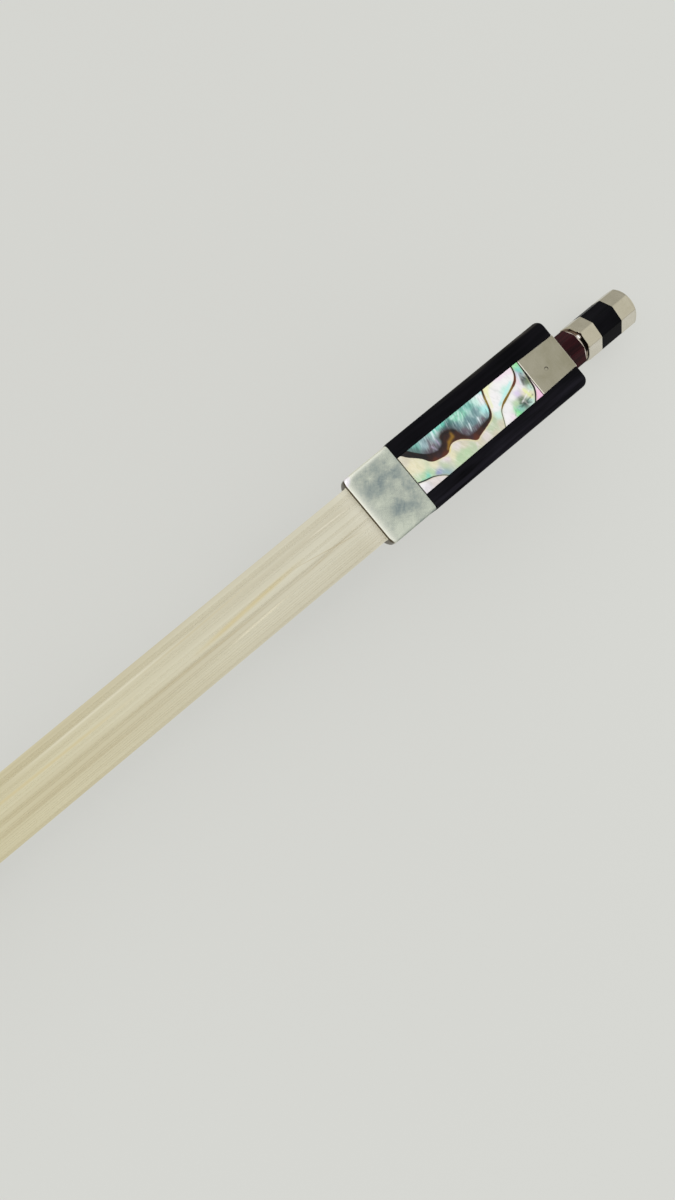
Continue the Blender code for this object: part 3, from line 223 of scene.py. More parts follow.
class Nodes:
    """A tree of shader nodes, built up from small steps."""

    def __init__(self, tree):
        self.tree = tree

    def feed(self, socket, value):
        if isinstance(value, bpy.types.NodeSocket):
            self.tree.links.new(value, socket)
        else:
            socket.default_value = value

    def node(self, kind, inputs=None, **settings):
        node = self.tree.nodes.new("ShaderNode" + kind)
        for name, value in settings.items():
            setattr(node, name, value)
        for key, value in (inputs or {}).items():
            self.feed(node.inputs[key], value)
        return node

    def math(self, operation, first, second=0.0, third=0.0):
        return self.node("Math", {0: first, 1: second, 2: third}, operation=operation).outputs[0]

    def plus(self, first, second):
        return self.math("ADD", first, second)

    def minus(self, first, second):
        return self.math("SUBTRACT", first, second)

    def times(self, first, second):
        return self.math("MULTIPLY", first, second)

    def share(self, part, first, second):
        """A part of the first value and the rest of the second."""
        return self.math("MULTIPLY_ADD", first, part, self.times(second, 1 - part))

    def reach(self, across, up):
        """Length of the slope over two sides."""
        return self.math("SQRT", self.plus(self.math("POWER", across, 2.0), self.math("POWER", up, 2.0)))

    def span(self, value, low, high, to_low=0.0, to_high=1.0, smooth=False):
        """Maps a value's range from low to high onto another range, and clamps it."""
        inputs = {"Value": value, "From Min": low, "From Max": high, "To Min": to_low, "To Max": to_high}
        kind = "SMOOTHSTEP" if smooth else "LINEAR"
        return self.node("MapRange", inputs, interpolation_type=kind).outputs[0]

    def near(self, value, place, far, close, strength=1.0, smooth=False):
        """The strength where a value is close to a place, and nothing where it is far from it."""
        return self.span(self.math("ABSOLUTE", self.minus(value, place)), far, close, 0.0, strength, smooth)


class Finish(Nodes):
    """A node material. Lengths in its textures are millimetres, and tones are 8-bit display colours."""

    def __init__(self, name, **values):
        self.material = bpy.data.materials.new(name)
        self.material.use_nodes = True
        super().__init__(self.material.node_tree)
        self.shader = self.tree.nodes["Principled BSDF"]
        self.place = None
        self.set(**values)

    def set(self, **values):
        for name, value in values.items():
            self.feed(self.shader.inputs[name.replace("_", " ")], value)

    def scaled(self, stretch=(1, 1, 1), turn=0.0):
        """The surface point in millimetres, turned about Z and then stretched: under 1 lengthens."""
        if self.place is None:
            self.place = self.node("TexCoord").outputs["Object"]
        inputs = {"Vector": self.place, "Rotation": (0, 0, turn), "Scale": tuple(MM / s for s in stretch)}
        return self.node("Mapping", inputs, vector_type="TEXTURE").outputs[0]

    def noise(self, scale, stretch=(1, 1, 1), detail=3.0, roughness=0.55, distortion=0.0, turn=0.0):
        """Noise with so many cells a millimetre, about 0.5."""
        inputs = {"Vector": self.scaled(stretch, turn), "Scale": scale, "Detail": detail,
                  "Roughness": roughness, "Distortion": distortion}
        return self.node("TexNoise", inputs).outputs[0]

    def axis(self, name):
        """One coordinate of the surface point, in millimetres."""
        return self.node("SeparateXYZ", {0: self.scaled()}).outputs[name]

    def along(self):
        """Distance from the ferrule's mouth towards the button, in millimetres."""
        return self.minus(self.axis("X"), MOUTH_X / MM)

    def attribute(self, name, output="Fac"):
        return self.node("Attribute", attribute_name=name).outputs[output]

    def mix(self, share, first, second):
        """Two tones blended. Each is a socket or a colour."""
        node = self.node("Mix", {0: share}, data_type="RGBA", blend_type="MIX")
        for key, tone in ((6, first), (7, second)):
            self.feed(node.inputs[key], colour(*tone) if isinstance(tone, tuple) else tone)
        return node.outputs[2]

    def ramp(self, value, *stops):
        """Tones along a value. Each stop is a position and a colour."""
        node = self.node("ValToRGB", {0: value})
        band = node.color_ramp
        while len(band.elements) < len(stops):
            band.elements.new(0.5)
        for element, (position, *tone) in zip(band.elements, stops):
            element.position = position
            element.color = colour(*tone)
        return node.outputs[0]

    def bump(self, height, depth_mm):
        inputs = {"Height": height, "Distance": depth_mm * MM}
        self.feed(self.shader.inputs["Normal"], self.node("Bump", inputs).outputs[0])


def trim_silver():
    """Satin nickel silver: soft clouds of tarnish under fine polishing lines."""
    f = Finish("trim_silver", Metallic=1.0)
    clouds = f.noise(0.45, detail=4.0, distortion=0.4)
    lines = f.noise(9.0, stretch=(0.1, 1, 1), detail=2.0)
    f.set(Base_Color=f.ramp(f.share(0.25, lines, clouds), (0.36, 165, 160, 140), (0.62, 200, 195, 178)),
          Roughness=f.span(clouds, 0.3, 0.7, 0.22, 0.34))
    f.bump(lines, 0.004)
    return f


# Clouds of tarnish on the ferrule: strength (above 0 darker), from the mouth and across in mm, and reach
FERRULE_CLOUDS = [
    (0.9, 5.8, 3.0, 1.2), (0.7, 7.8, 3.2, 1.0), (0.8, 9.3, 2.3, 1.1), (0.8, 2.9, 3.0, 1.4),
    (0.5, 6.6, 5.3, 1.3), (0.9, 6.0, -3.0, 1.4), (0.6, 7.9, -4.2, 1.1), (0.5, 4.6, -3.6, 1.1),
    (0.4, 9.4, -1.0, 1.2), (0.5, 4.0, 1.8, 1.1), (-0.6, 9.8, 4.4, 0.7), (-0.5, 4.6, 4.5, 0.5),
    (-0.6, 2.6, 0.2, 1.0), (-0.5, 5.0, -0.4, 1.1), (-0.4, 8.4, 0.6, 0.7), (-0.6, 9.2, -6.3, 1.2),
    (-1.0, 3.2, -6.2, 1.8), (-0.8, 5.8, -6.6, 1.4), (-0.5, 9.6, 6.7, 0.8), (-0.4, 1.4, -3.0, 1.0),
    (0.4, 7.0, 0.9, 0.6), (-0.4, 6.8, 2.2, 0.4), (-0.35, 3.6, 4.0, 0.35), (0.35, 8.6, 5.4, 0.7),
    (-0.4, 7.2, -2.0, 0.5), (0.3, 8.9, -3.2, 0.7),
]
# Width of the painted highlight along the ferrule's left edge, at distances from the mouth, in mm
LEFT_HIGHLIGHT = ([0.0, 1.2, 2.0, 3.2, 8.0, 10.0, 11.3], [1.9, 1.5, 0.85, 0.6, 0.6, 0.45, 0.3])


def point_values(mesh, name):
    """Three numbers from each point of a mesh, such as its place or normal."""
    values = np.zeros(len(mesh.vertices) * 3, np.float32)
    mesh.vertices.foreach_get(name, values)
    return values.reshape(-1, 3).astype(float)


def write_numbers(mesh, **numbers):
    """Writes named numbers on a mesh's points."""
    for name, values in numbers.items():
        mesh.attributes.new(name, "FLOAT", "POINT").data.foreach_set("value", values.astype(np.float32))


def paint_ferrule(mesh):
    """Writes on the ferrule's points its tarnish with painted shade along the right edge, a painted
    highlight along the left and front edges and the front-left corner, and painted shade on its front rim.
    """
    co = point_values(mesh, "co")
    u, v = (co[:, 0] - MOUTH_X) / MM, co[:, 1] / MM
    side = FERRULE_HIGH.y / MM - np.abs(v)
    # Painted shade on the front rim: on faces turned towards the tip, and on the lower side walls near the
    # front
    lip = np.clip((-point_values(mesh, "normal")[:, 0] - 0.32) / 0.3, 0, 1)
    under = np.clip((FACE_Z / MM - 1.0 - co[:, 2] / MM) / 0.5, 0, 1) * np.clip((1.8 - u) / 0.8, 0, 1)
    # Painted highlight along the left edge, the front edge and round the front-left corner
    width = np.interp(u, *LEFT_HIGHLIGHT)
    left = np.exp(-np.maximum(side, 0) ** 2.4 / width ** 2.4) + 0.25 * np.exp(-side ** 2)
    front = 0.85 * np.exp(-(np.maximum(u, 0) / 0.85) ** 1.8) + 0.3 * np.exp(-(u / 1.8) ** 2)
    # Painted shade along the right edge, added to the tarnish
    right = np.exp(-(np.maximum(side, 0) / 0.3) ** 2) * np.clip((u - 0.8) / 0.8, 0, 1)
    corner = np.clip((2.0 - np.hypot(u, FERRULE_HIGH.y / MM - v)) / 0.5, 0, 1)
    clouds = sum(s * np.exp(-((u - a) ** 2 + (v - b) ** 2) / far ** 2) for s, a, b, far in FERRULE_CLOUDS)
    # The painted highlight, kept to the left side, and the front
    worn = np.clip(np.maximum(np.maximum(np.where(v > 0, left, 0), front), corner), 0, 1)
    write_numbers(mesh, tarnish=clouds + 0.8 * np.where(v < 0, right, 0), wear=worn, corner=corner,
                  lip=np.maximum(lip, 0.6 * under))


def ferrule_silver():
    """The ferrule: blue-grey clouds and fine wisps on satin silver, with a painted highlight at its left and
    front and painted shade on its front rim.
    """
    f = Finish("ferrule_silver", Metallic=1.0)
    clouds = f.noise(0.55, stretch=(0.8, 1, 1), detail=4.0, roughness=0.6, distortion=0.8, turn=0.6)
    wisps = f.noise(1.5, stretch=(0.4, 1, 1), detail=4.0, roughness=0.65, distortion=1.6, turn=0.9)
    specks = f.noise(3.2, stretch=(0.3, 1, 1), distortion=0.8, turn=-0.5)
    # The tarnish clouds, with the painted shade along the right edge in them
    drift = f.math("MULTIPLY_ADD", f.attribute("tarnish"), 0.19, 0.49)
    for pattern, strength in ((clouds, 0.36), (wisps, 0.26), (specks, 0.2)):
        drift = f.math("MULTIPLY_ADD", f.minus(pattern, 0.5), strength, drift)
    face = f.ramp(drift, (0.3, 208, 213, 196), (0.42, 193, 199, 184), (0.5, 180, 186, 174),
                  (0.58, 162, 171, 163), (0.68, 140, 151, 149), (0.8, 120, 132, 134))
    # Painted highlight on the left and front edges, whitest at the front-left corner
    bright = f.mix(f.attribute("corner"), (243, 243, 228), (248, 243, 246))
    with_highlight = f.mix(f.attribute("wear"), face, bright)
    # Painted shade on the front rim, in dark brown
    f.set(Base_Color=f.mix(f.attribute("lip"), with_highlight, (84, 74, 54)),
          Roughness=f.span(drift, 0.4, 0.7, 0.24, 0.4))
    f.bump(f.math("MULTIPLY_ADD", wisps, 0.5, specks), 0.003)
    return f


def ebony():
    """Black wood with a soft hand polish and faint long pores, with a painted grey highlight along the
    frog's left edge and a painted lighter reflection on its right side.
    """
    f = Finish("ebony", Specular_IOR_Level=0.04)
    grain = f.noise(1.3, stretch=(0.06, 1, 1), detail=4.0)
    haze = f.noise(0.12, detail=2.0)
    black = f.ramp(f.share(0.4, haze, grain), (0.38, 4, 4, 6), (0.6, 13, 12, 16))
    # Painted grey highlight along the left rail's outer top edge, towards the heel
    edge = f.times(f.span(f.axis("Y"), 7.0, 7.7), f.span(f.axis("Z"), FACE_Z / MM - 1.2, FACE_Z / MM - 0.3))
    painted_edge_highlight = f.times(f.times(edge, f.span(f.along(), 20, 30)), f.span(grain, 0.42, 0.6, 0.1, 0.6))
    # Painted reflection: the frog's right side a little lighter
    painted_sheen = f.times(f.span(f.axis("Y"), -4.0, -6.5, 0.0, 0.5), f.span(grain, 0.35, 0.65))
    black = f.mix(painted_sheen, black, (38, 36, 44))
    f.set(Base_Color=f.mix(painted_edge_highlight, black, (92, 88, 80)), Roughness=f.span(grain, 0.3, 0.7, 0.28, 0.42))
    f.bump(grain, 0.006)
    return f


def stick_wood():
    """Dark red-brown wood: long straight grain, short darker pores and a thin old polish."""
    f = Finish("stick_wood", Specular_IOR_Level=0.06, Coat_Weight=0.02, Coat_Roughness=0.2)
    grain = f.noise(0.9, stretch=(0.035, 1, 1), detail=4.0, distortion=0.3)
    pores = f.noise(4.5, stretch=(0.09, 1, 1), detail=2.0)
    tone = f.share(0.35, pores, grain)
    f.set(Base_Color=f.ramp(tone, (0.36, 24, 7, 10), (0.5, 40, 11, 15), (0.64, 56, 17, 21)),
          Roughness=f.span(pores, 0.3, 0.7, 0.3, 0.42))
    f.bump(pores, 0.008)
    return f


def flecked(name, deep, pale, scale, depth, stretch=(1, 1, 1), detail=3.0, gloss=None, **values):
    """A plain material, whose one noise gives its two tones, its relief and, where asked, its gloss."""
    f = Finish(name, **values)
    flecks = f.noise(scale, stretch=stretch, detail=detail)
    f.set(Base_Color=f.ramp(flecks, deep, pale))
    if gloss:
        f.set(Roughness=f.span(flecks, 0.3, 0.7, gloss, gloss + 0.12))
    f.bump(flecks, depth)
    return f


def maple():
    """Pale cut maple with long grain."""
    return flecked("maple", (0.35, 170, 138, 98), (0.65, 204, 174, 132), 2.0, 0.01, stretch=(0.1, 1, 1),
                   Roughness=0.55)


def plain_metal(name, deep, pale, gloss):
    """Bare metal with light wear."""
    return flecked(name, (0.35, *deep), (0.65, *pale), 0.8, 0.004, detail=4.0, gloss=gloss, Metallic=1.0)


def bone():
    """Smooth bone: warm white with fine darker flecks."""
    return flecked("bone", (0.3, 214, 203, 176), (0.6, 236, 230, 212), 1.6, 0.004, stretch=(0.25, 1, 1),
                   detail=4.0, Roughness=0.35, Subsurface_Weight=0.1, Subsurface_Scale=0.001)


def black_fibre():
    """Matt black fibre."""
    return flecked("black_fibre", (0.3, 14, 13, 13), (0.7, 34, 32, 31), 3.0, 0.01, Roughness=0.6)


def leather():
    """Dark grained leather with paler worn patches."""
    f = Finish("leather", Specular_IOR_Level=0.35, Sheen_Weight=0.15, Sheen_Roughness=0.4)
    inputs = {"Vector": f.scaled((0.8, 1, 1)), "Scale": 2.2}
    cells = f.node("TexVoronoi", inputs, feature="DISTANCE_TO_EDGE").outputs[0]
    patches = f.noise(0.35, detail=4.0)
    creases = f.span(cells, 0.0, 0.18)
    tone = f.math("MULTIPLY_ADD", creases, 0.25, f.times(patches, 0.7))
    f.set(Base_Color=f.ramp(tone, (0.3, 20, 13, 11), (0.55, 38, 25, 20), (0.8, 62, 42, 32)),
          Roughness=f.span(creases, 0.0, 1.0, 0.72, 0.5))
    f.bump(f.math("MULTIPLY_ADD", patches, 0.3, creases), 0.06)
    return f


# Streaks that run along the hair: tone, ends as distance from the ferrule's mouth and place across,
# half width and strength
HAIR_STREAKS = [
    ((205, 184, 120), -42.0, 0.0, -14.0, 1.1, 0.75, 0.5),
    ((232, 225, 200), -36.0, -2.7, -20.0, -2.4, 0.3, 0.7),
    ((184, 168, 130), -20.0, 1.3, -0.5, -2.4, 0.14, 0.5),
    ((188, 174, 140), -18.0, -1.6, -3.0, -0.7, 0.2, 0.4),
    ((236, 231, 212), -12.0, 3.3, -1.0, 3.0, 0.22, 0.6),
    ((188, 174, 138), -60.0, -0.9, -24.0, -1.3, 0.3, 0.45),
    ((206, 186, 130), -95.0, 2.0, -52.0, 1.3, 0.45, 0.45),
    ((190, 178, 146), -90.0, -2.6, -48.0, -3.0, 0.35, 0.4),
    ((234, 229, 208), -80.0, 3.6, -38.0, 4.0, 0.4, 0.45),
    ((196, 180, 138), -52.0, 3.4, -22.0, 3.9, 0.25, 0.35),
]


def hair_colour(f, shade):
    """Cream hair, paler at the frog and yellower away from it, with soft streaks along it, painted lighter
    just before the ferrule's mouth and darkened by a share of painted shade.
    """
    along = f.along()
    fine = f.noise(1.5, stretch=(0.008, 1, 1), detail=2.0)
    broad = f.noise(0.4, stretch=(0.03, 1, 1), detail=2.0)
    tone = f.share(0.65, broad, fine)
    near_tone = f.ramp(tone, (0.36, 202, 196, 174), (0.64, 215, 211, 191))
    far_tone = f.ramp(tone, (0.36, 195, 185, 150), (0.64, 211, 204, 172))
    cream = f.mix(f.span(along, -95, -5, 1.0, 0.0, smooth=True), near_tone, far_tone)
    # Painted light: the hair lighter over the last 5 mm before the ferrule's mouth
    cream = f.mix(f.span(along, -5, 0, 0.0, 0.25, smooth=True), cream, (240, 236, 220))
    for streak, u0, v0, u1, v1, half, strength in HAIR_STREAKS:
        fade = 0.3 * (u1 - u0)
        held = f.near(f.axis("Y"), f.span(along, u0, u1, v0, v1), half, 0.0, strength, smooth=True)
        held = f.times(held, f.times(f.span(along, u0, u0 + fade), f.span(along, u1, u1 - fade)))
        cream = f.mix(held, cream, streak)
    # Painted shade: the given share of a darker tone
    return f.mix(shade, cream, (176, 162, 126)), fine


def hair_finish(name, shade):
    """Horse hair, pale and softly glossy."""
    f = Finish(name, Roughness=0.55, Specular_IOR_Level=0.18)
    tone, fine = hair_colour(f, shade)
    f.set(Base_Color=tone)
    f.bump(fine, 0.01)
    return f


# Tones of the shell, of its brown band and of its veins
TONES = {
    "aqua": (112, 208, 186), "teal": (122, 186, 172), "slate": (112, 144, 148), "pine": (66, 104, 104),
    "mist": (152, 178, 182), "plum": (112, 96, 106), "mint": (150, 218, 188), "frost": (200, 236, 222),
    "ice": (226, 240, 242), "cream": (212, 204, 182), "butter": (230, 222, 188), "sage": (188, 202, 170),
    "leaf": (184, 209, 168), "rose": (240, 220, 231), "white": (243, 240, 240), "lilac": (220, 204, 234),
    "lime": (232, 240, 160), "grass": (128, 222, 146), "moss": (98, 116, 86), "smoke": (52, 64, 58),
    "sky": (180, 238, 232), "blush": (222, 212, 208), "steel": (150, 158, 194), "honey": (226, 208, 120),
    "pink": (238, 186, 216), "silver": (222, 216, 220), "lemon": (238, 238, 188), "black": (12, 10, 12),
    "umber": (30, 15, 13), "brown": (54, 26, 16), "rust": (88, 40, 17), "gold": (142, 104, 30),
    "wine": (52, 34, 40), "olive": (36, 30, 16), "straw": (136, 120, 44), "dark": (34, 34, 22),
    "red": (96, 46, 24), "ochre": (124, 98, 28), "grey": (96, 104, 88), "green": (50, 62, 58),
    "ink": (14, 14, 18),
}

# Where a tone shows in each field: tone, distance from the ferrule's mouth and place across, in mm
FIELDS = {
    "teal": [
        ("teal", 15.2, 3.5), ("mist", 16.8, 2.8), ("plum", 17.2, 1.5), ("plum", 18.4, 1.9),
        ("mist", 19.2, 2.2), ("aqua", 20.6, 4.0), ("frost", 20.6, 2.9), ("aqua", 22.0, 3.9),
        ("pine", 23.0, 3.0), ("slate", 24.2, 2.0), ("mint", 25.2, 3.6), ("mint", 26.8, 3.1),
        ("slate", 26.8, 1.6), ("plum", 24.7, 0.0), ("plum", 27.4, -1.0), ("slate", 27.6, 0.6),
        ("teal", 28.6, 3.5), ("slate", 29.2, 1.9), ("plum", 29.4, -0.5), ("sky", 30.8, 1.0),
        ("frost", 30.4, 3.2), ("white", 31.6, 3.4), ("white", 31.5, 2.6), ("sky", 32.5, 4.2),
        ("mist", 30.3, -0.3), ("teal", 27.4, 3.9), ("pine", 22.0, 2.9), ("sky", 31.2, 0.6),
    ],
    "pale": [
        ("cream", 11.7, 3.0), ("butter", 12.4, 1.2), ("butter", 13.4, 0.0), ("leaf", 13.0, -1.4),
        ("aqua", 13.6, -2.0), ("leaf", 14.8, -1.8), ("steel", 15.7, -2.7), ("mist", 16.8, -3.4),
        ("butter", 15.9, -1.1), ("sage", 17.6, -2.4), ("blush", 18.5, -1.7), ("butter", 20.0, -2.0),
        ("leaf", 20.6, -3.0), ("blush", 21.9, -0.9), ("cream", 23.0, -1.6), ("leaf", 22.6, -3.0),
        ("sage", 24.4, -3.4), ("cream", 25.8, -3.1), ("blush", 27.6, -2.9), ("sage", 29.6, -2.6),
        ("cream", 29.8, -3.8), ("sage", 31.0, -1.4), ("cream", 31.4, -3.0), ("white", 32.6, -0.2),
        ("frost", 32.2, -1.4), ("lemon", 33.7, 3.9), ("white", 34.4, 3.0), ("rose", 37.4, 4.1),
        ("rose", 39.6, 3.6), ("white", 37.6, 2.9), ("frost", 36.4, 1.5), ("white", 34.2, 0.4),
        ("white", 34.0, 1.8), ("white", 35.8, 2.6), ("white", 39.0, 2.7),
    ],
    "heel": [
        ("grass", 41.4, 3.8), ("aqua", 41.3, 2.8), ("mist", 41.1, 1.9), ("smoke", 41.0, 0.8),
        ("moss", 40.9, -0.2), ("frost", 41.0, -1.2), ("lilac", 40.2, 2.4), ("rose", 39.5, 1.3),
        ("white", 38.4, 0.5), ("white", 39.6, -0.2), ("lilac", 38.0, -0.6), ("butter", 39.4, -1.3),
        ("butter", 40.0, -2.2), ("white", 36.8, -0.6), ("leaf", 36.6, -2.0), ("moss", 37.9, -2.1),
        ("smoke", 38.2, -3.2), ("frost", 39.0, -3.5), ("teal", 36.6, -3.2), ("grass", 35.6, -3.7),
        ("white", 35.0, -1.6), ("white", 33.6, -3.0), ("rose", 34.4, -3.6),
    ],
    "corner": [
        ("silver", 12.0, -3.6), ("white", 11.4, -2.6), ("blush", 14.0, -3.4),
    ],
    "point": [
        ("pink", 41.5, -3.0), ("rose", 41.7, -1.8),
    ],
    "band": [
        ("black", 12.6, 4.0), ("black", 13.2, 3.2), ("black", 14.6, 2.0), ("black", 15.6, 1.3),
        ("umber", 16.4, 0.5), ("rust", 16.8, -0.5), ("umber", 17.6, 0.4), ("wine", 17.8, -0.1),
        ("umber", 18.6, 0.2), ("rust", 18.9, -0.8), ("umber", 20.0, 0.6), ("brown", 20.6, 1.9),
        ("brown", 20.3, 0.2), ("brown", 21.9, 0.9), ("umber", 22.8, 2.1), ("brown", 23.2, 0.4),
        ("umber", 21.2, 1.8), ("brown", 21.0, 0.8), ("brown", 24.0, -0.7), ("wine", 25.0, -1.4),
        ("rust", 25.8, -2.3), ("brown", 27.2, -1.8), ("umber", 29.0, -1.4), ("olive", 30.6, -0.9),
        ("olive", 31.5, 0.2), ("straw", 32.1, 2.0), ("olive", 32.8, 4.0),
    ],
    "vein": [
        ("dark", 40.3, 4.0), ("dark", 40.1, 2.9), ("red", 39.5, 1.9), ("red", 38.9, 1.4),
        ("ochre", 37.2, 0.6), ("ochre", 35.2, -0.2), ("ochre", 34.2, -0.6), ("grey", 33.0, -1.7),
        ("grey", 32.0, -3.9), ("ink", 42.1, 4.0), ("ink", 41.9, 1.0), ("ink", 41.3, -2.2),
        ("ink", 40.0, -4.0), ("green", 12.4, -2.2), ("green", 15.6, -3.4),
    ],
}

# Soft strokes over the fields: tone, from, to, half width and strength
STROKES = {
    "teal": [
        ("ice", (19.6, 4.2), (19.2, 2.6), 0.22, 0.85), ("ice", (20.4, 4.0), (20.4, 3.0), 0.18, 0.7),
        ("lilac", (19.3, 2.3), (19.3, 1.0), 0.2, 0.75), ("lilac", (17.8, 1.9), (18.3, 0.6), 0.18, 0.7),
        ("plum", (18.0, 3.2), (17.4, 1.1), 0.3, 0.6), ("pine", (23.0, 3.8), (22.6, 2.6), 0.2, 0.8),
        ("pine", (21.6, 3.4), (21.2, 2.8), 0.16, 0.7), ("pine", (24.2, 3.4), (24.0, 2.2), 0.18, 0.6),
        ("frost", (26.3, 3.9), (25.4, 2.6), 0.2, 0.8), ("frost", (26.7, 3.2), (25.9, 1.9), 0.14, 0.6),
        ("frost", (25.4, 3.8), (24.4, 3.6), 0.2, 0.7), ("slate", (27.2, 2.7), (26.6, 0.9), 0.25, 0.5),
        ("ice", (28.6, 0.6), (28.3, -0.9), 0.17, 0.95), ("ice", (26.5, 0.8), (26.0, -0.6), 0.14, 0.8),
        ("frost", (29.7, 1.2), (29.9, -0.3), 0.13, 0.6), ("teal", (29.4, 3.4), (30.2, 1.6), 0.3, 0.5),
        ("plum", (20.8, 2.9), (22.8, 2.6), 0.22, 0.5), ("pine", (28.0, -0.9), (30.0, -0.6), 0.2, 0.6),
    ],
    "pale": [
        ("honey", (20.8, -0.3), (19.9, -1.0), 0.16, 0.8),
        ("rose", (18.3, -1.2), (19.0, -2.0), 0.25, 0.5), ("leaf", (22.0, -2.1), (20.8, -3.2), 0.25, 0.5),
        ("blush", (25.3, -3.0), (24.8, -4.0), 0.2, 0.5), ("sage", (30.8, -1.2), (30.4, -3.6), 0.5, 0.6),
        ("sky", (38.4, 1.9), (33.8, -0.2), 0.32, 0.75), ("lemon", (33.6, 4.2), (32.3, 0.4), 0.22, 0.9),
        ("rose", (35.9, 4.2), (39.8, 4.0), 0.3, 0.7), ("lemon", (34.0, 4.2), (35.4, 4.2), 0.2, 0.5),
        ("aqua", (12.2, -1.8), (13.6, -2.4), 0.2, 0.6),
    ],
    "heel": [
        ("smoke", (41.0, 1.9), (40.2, -0.1), 0.24, 0.7), ("rose", (39.6, 1.8), (39.0, -1.2), 0.25, 0.5),
        ("ice", (40.5, 2.2), (39.9, 0.4), 0.12, 0.8), ("moss", (41.4, 0.6), (41.0, -1.6), 0.16, 0.6),
        ("white", (40.3, -1.6), (37.6, -2.6), 0.14, 0.8),
        ("smoke", (40.3, -2.7), (37.0, -3.2), 0.16, 0.8),
        ("pine", (39.4, -3.3), (36.4, -2.9), 0.12, 0.6),
        ("lime", (39.5, -0.8), (39.9, -2.9), 0.28, 0.75),
        ("smoke", (37.2, -2.5), (39.2, -3.7), 0.2, 0.75),
        ("moss", (37.7, -1.4), (38.4, -2.5), 0.16, 0.6),
        ("grass", (35.7, -2.2), (35.2, -4.0), 0.14, 0.6),
        ("smoke", (35.6, -3.0), (34.8, -3.8), 0.07, 0.6), ("aqua", (41.8, 3.4), (41.7, 2.0), 0.16, 0.6),
    ],
    "band": [
        ("gold", (20.1, -0.4), (21.1, 0.5), 0.26, 0.9), ("gold", (21.1, 0.5), (22.3, 0.9), 0.34, 0.9),
        ("gold", (22.3, 0.9), (22.5, 1.9), 0.26, 0.85), ("black", (20.0, 1.5), (21.2, 2.5), 0.3, 0.85),
        ("black", (21.2, 2.5), (23.3, 1.7), 0.32, 0.85), ("black", (16.8, 1.1), (19.4, 0.8), 0.26, 0.7),
        ("gold", (24.6, -1.9), (23.4, -0.6), 0.12, 0.5), ("black", (23.9, 0.1), (26.6, -1.2), 0.2, 0.5),
    ],
}

# Edges of the brown band across the shell, from the ferrule to the slide's upper edge, and the corners
# that close off the side beyond each
BAND_LOW = [
    (11.3, 4.8), (12.1, 4.05), (12.8, 3.2), (14.7, 1.4), (16.0, -0.3), (18.3, -1.0), (19.6, -1.0),
    (20.7, -0.28), (21.6, -0.04), (23.0, -0.4), (24.3, -1.3), (25.7, -2.6), (27.0, -2.3), (29.0, -1.8),
    (30.5, -1.3), (31.4, -0.42), (31.9, 0.8), (32.5, 2.8), (32.95, 3.95), (33.2, 4.8),
]
BAND_LOW_CORNERS = [(33.2, 9), (50, 9), (50, -9), (5, -9), (5, 9), (11.3, 9)]
BAND_HIGH = [
    (13.0, 4.85), (13.7, 4.15), (14.5, 3.15), (15.9, 1.7), (17.1, 0.95), (18.3, 0.6), (19.5, 0.95),
    (20.1, 1.55), (20.2, 2.3), (21.2, 2.65), (22.6, 2.3), (23.5, 1.5), (23.9, 0.2), (24.9, -1.0),
    (26.4, -1.25), (28.6, -1.05), (30.3, -0.65), (31.1, 0.12), (31.5, 1.0), (32.05, 2.9), (32.5, 4.0),
    (32.75, 4.8),
]
BAND_HIGH_CORNERS = [(32.9, 9), (12.9, 9)]

# Steps between two points of a drawn line, and how far the patches' tones run into each other, in mm
LINE_STEPS = 14
TONE_SOFTNESS = 0.55

# Thin veins: points with half the vein's width, and the corners that close off the field beyond it
VEINS = {
    "second": ([
        (40.6, 4.6, 0.14), (40.2, 2.9, 0.17), (39.6, 1.9, 0.23), (38.8, 1.25, 0.27), (37.1, 0.55, 0.2),
        (35.1, -0.2, 0.25), (34.2, -0.6, 0.17), (33.2, -1.4, 0.1), (32.5, -2.8, 0.09),
        (31.6, -4.6, 0.08),
    ], [(31.6, -9), (50, -9), (50, 9), (40.6, 9)]),
    "heel": ([
        (42.15, 4.7, 0.1), (42.05, 2.7, 0.16), (41.95, 1.1, 0.2), (41.7, -0.5, 0.2), (41.5, -1.7, 0.19),
        (41.1, -2.6, 0.18), (40.5, -3.4, 0.16), (39.4, -4.6, 0.12),
    ], [(39.4, -9), (50, -9), (50, 9), (42.15, 9)]),
    "lower": ([
        (10.6, -1.55, 0.12), (11.3, -1.75, 0.14), (12.7, -2.2, 0.15), (14.1, -2.55, 0.13),
        (15.2, -3.05, 0.1), (16.4, -3.85, 0.09), (17.2, -4.8, 0.08),
    ], [(17.2, -9), (5, -9), (5, -1.55)]),
}


def smooth_line(points):
    """A Catmull-Rom line through the points, in all their coordinates."""
    p = np.array([points[0]] + list(points) + [points[-1]], float)
    out = []
    for i in range(1, len(p) - 2):
        for t in np.linspace(0, 1, LINE_STEPS, endpoint=False):
            out.append(0.5 * (2 * p[i] + (p[i + 1] - p[i - 1]) * t
                              + (2 * p[i - 1] - 5 * p[i] + 4 * p[i + 1] - p[i + 2]) * t ** 2
                              + (3 * p[i] - p[i - 1] - 3 * p[i + 1] + p[i + 2]) * t ** 3))
    out.append(p[-2])
    return np.array(out)


def distance_to(line, places):
    """Distance of each place to the line, and the line's further values at the nearest point."""
    best = np.full(len(places), 1e9)
    values = np.zeros((len(places), line.shape[1] - 2))
    for a, b in zip(line, line[1:]):
        run = b[:2] - a[:2]
        t = np.clip(((places - a[:2]) @ run) / max(run @ run, 1e-9), 0, 1)
        gap = np.linalg.norm(places - (a[:2] + t[:, None] * run), axis=1)
        nearer = gap < best
        best[nearer] = gap[nearer]
        values[nearer] = (a[2:] + t[:, None] * (b[2:] - a[2:]))[nearer]
    return best, values


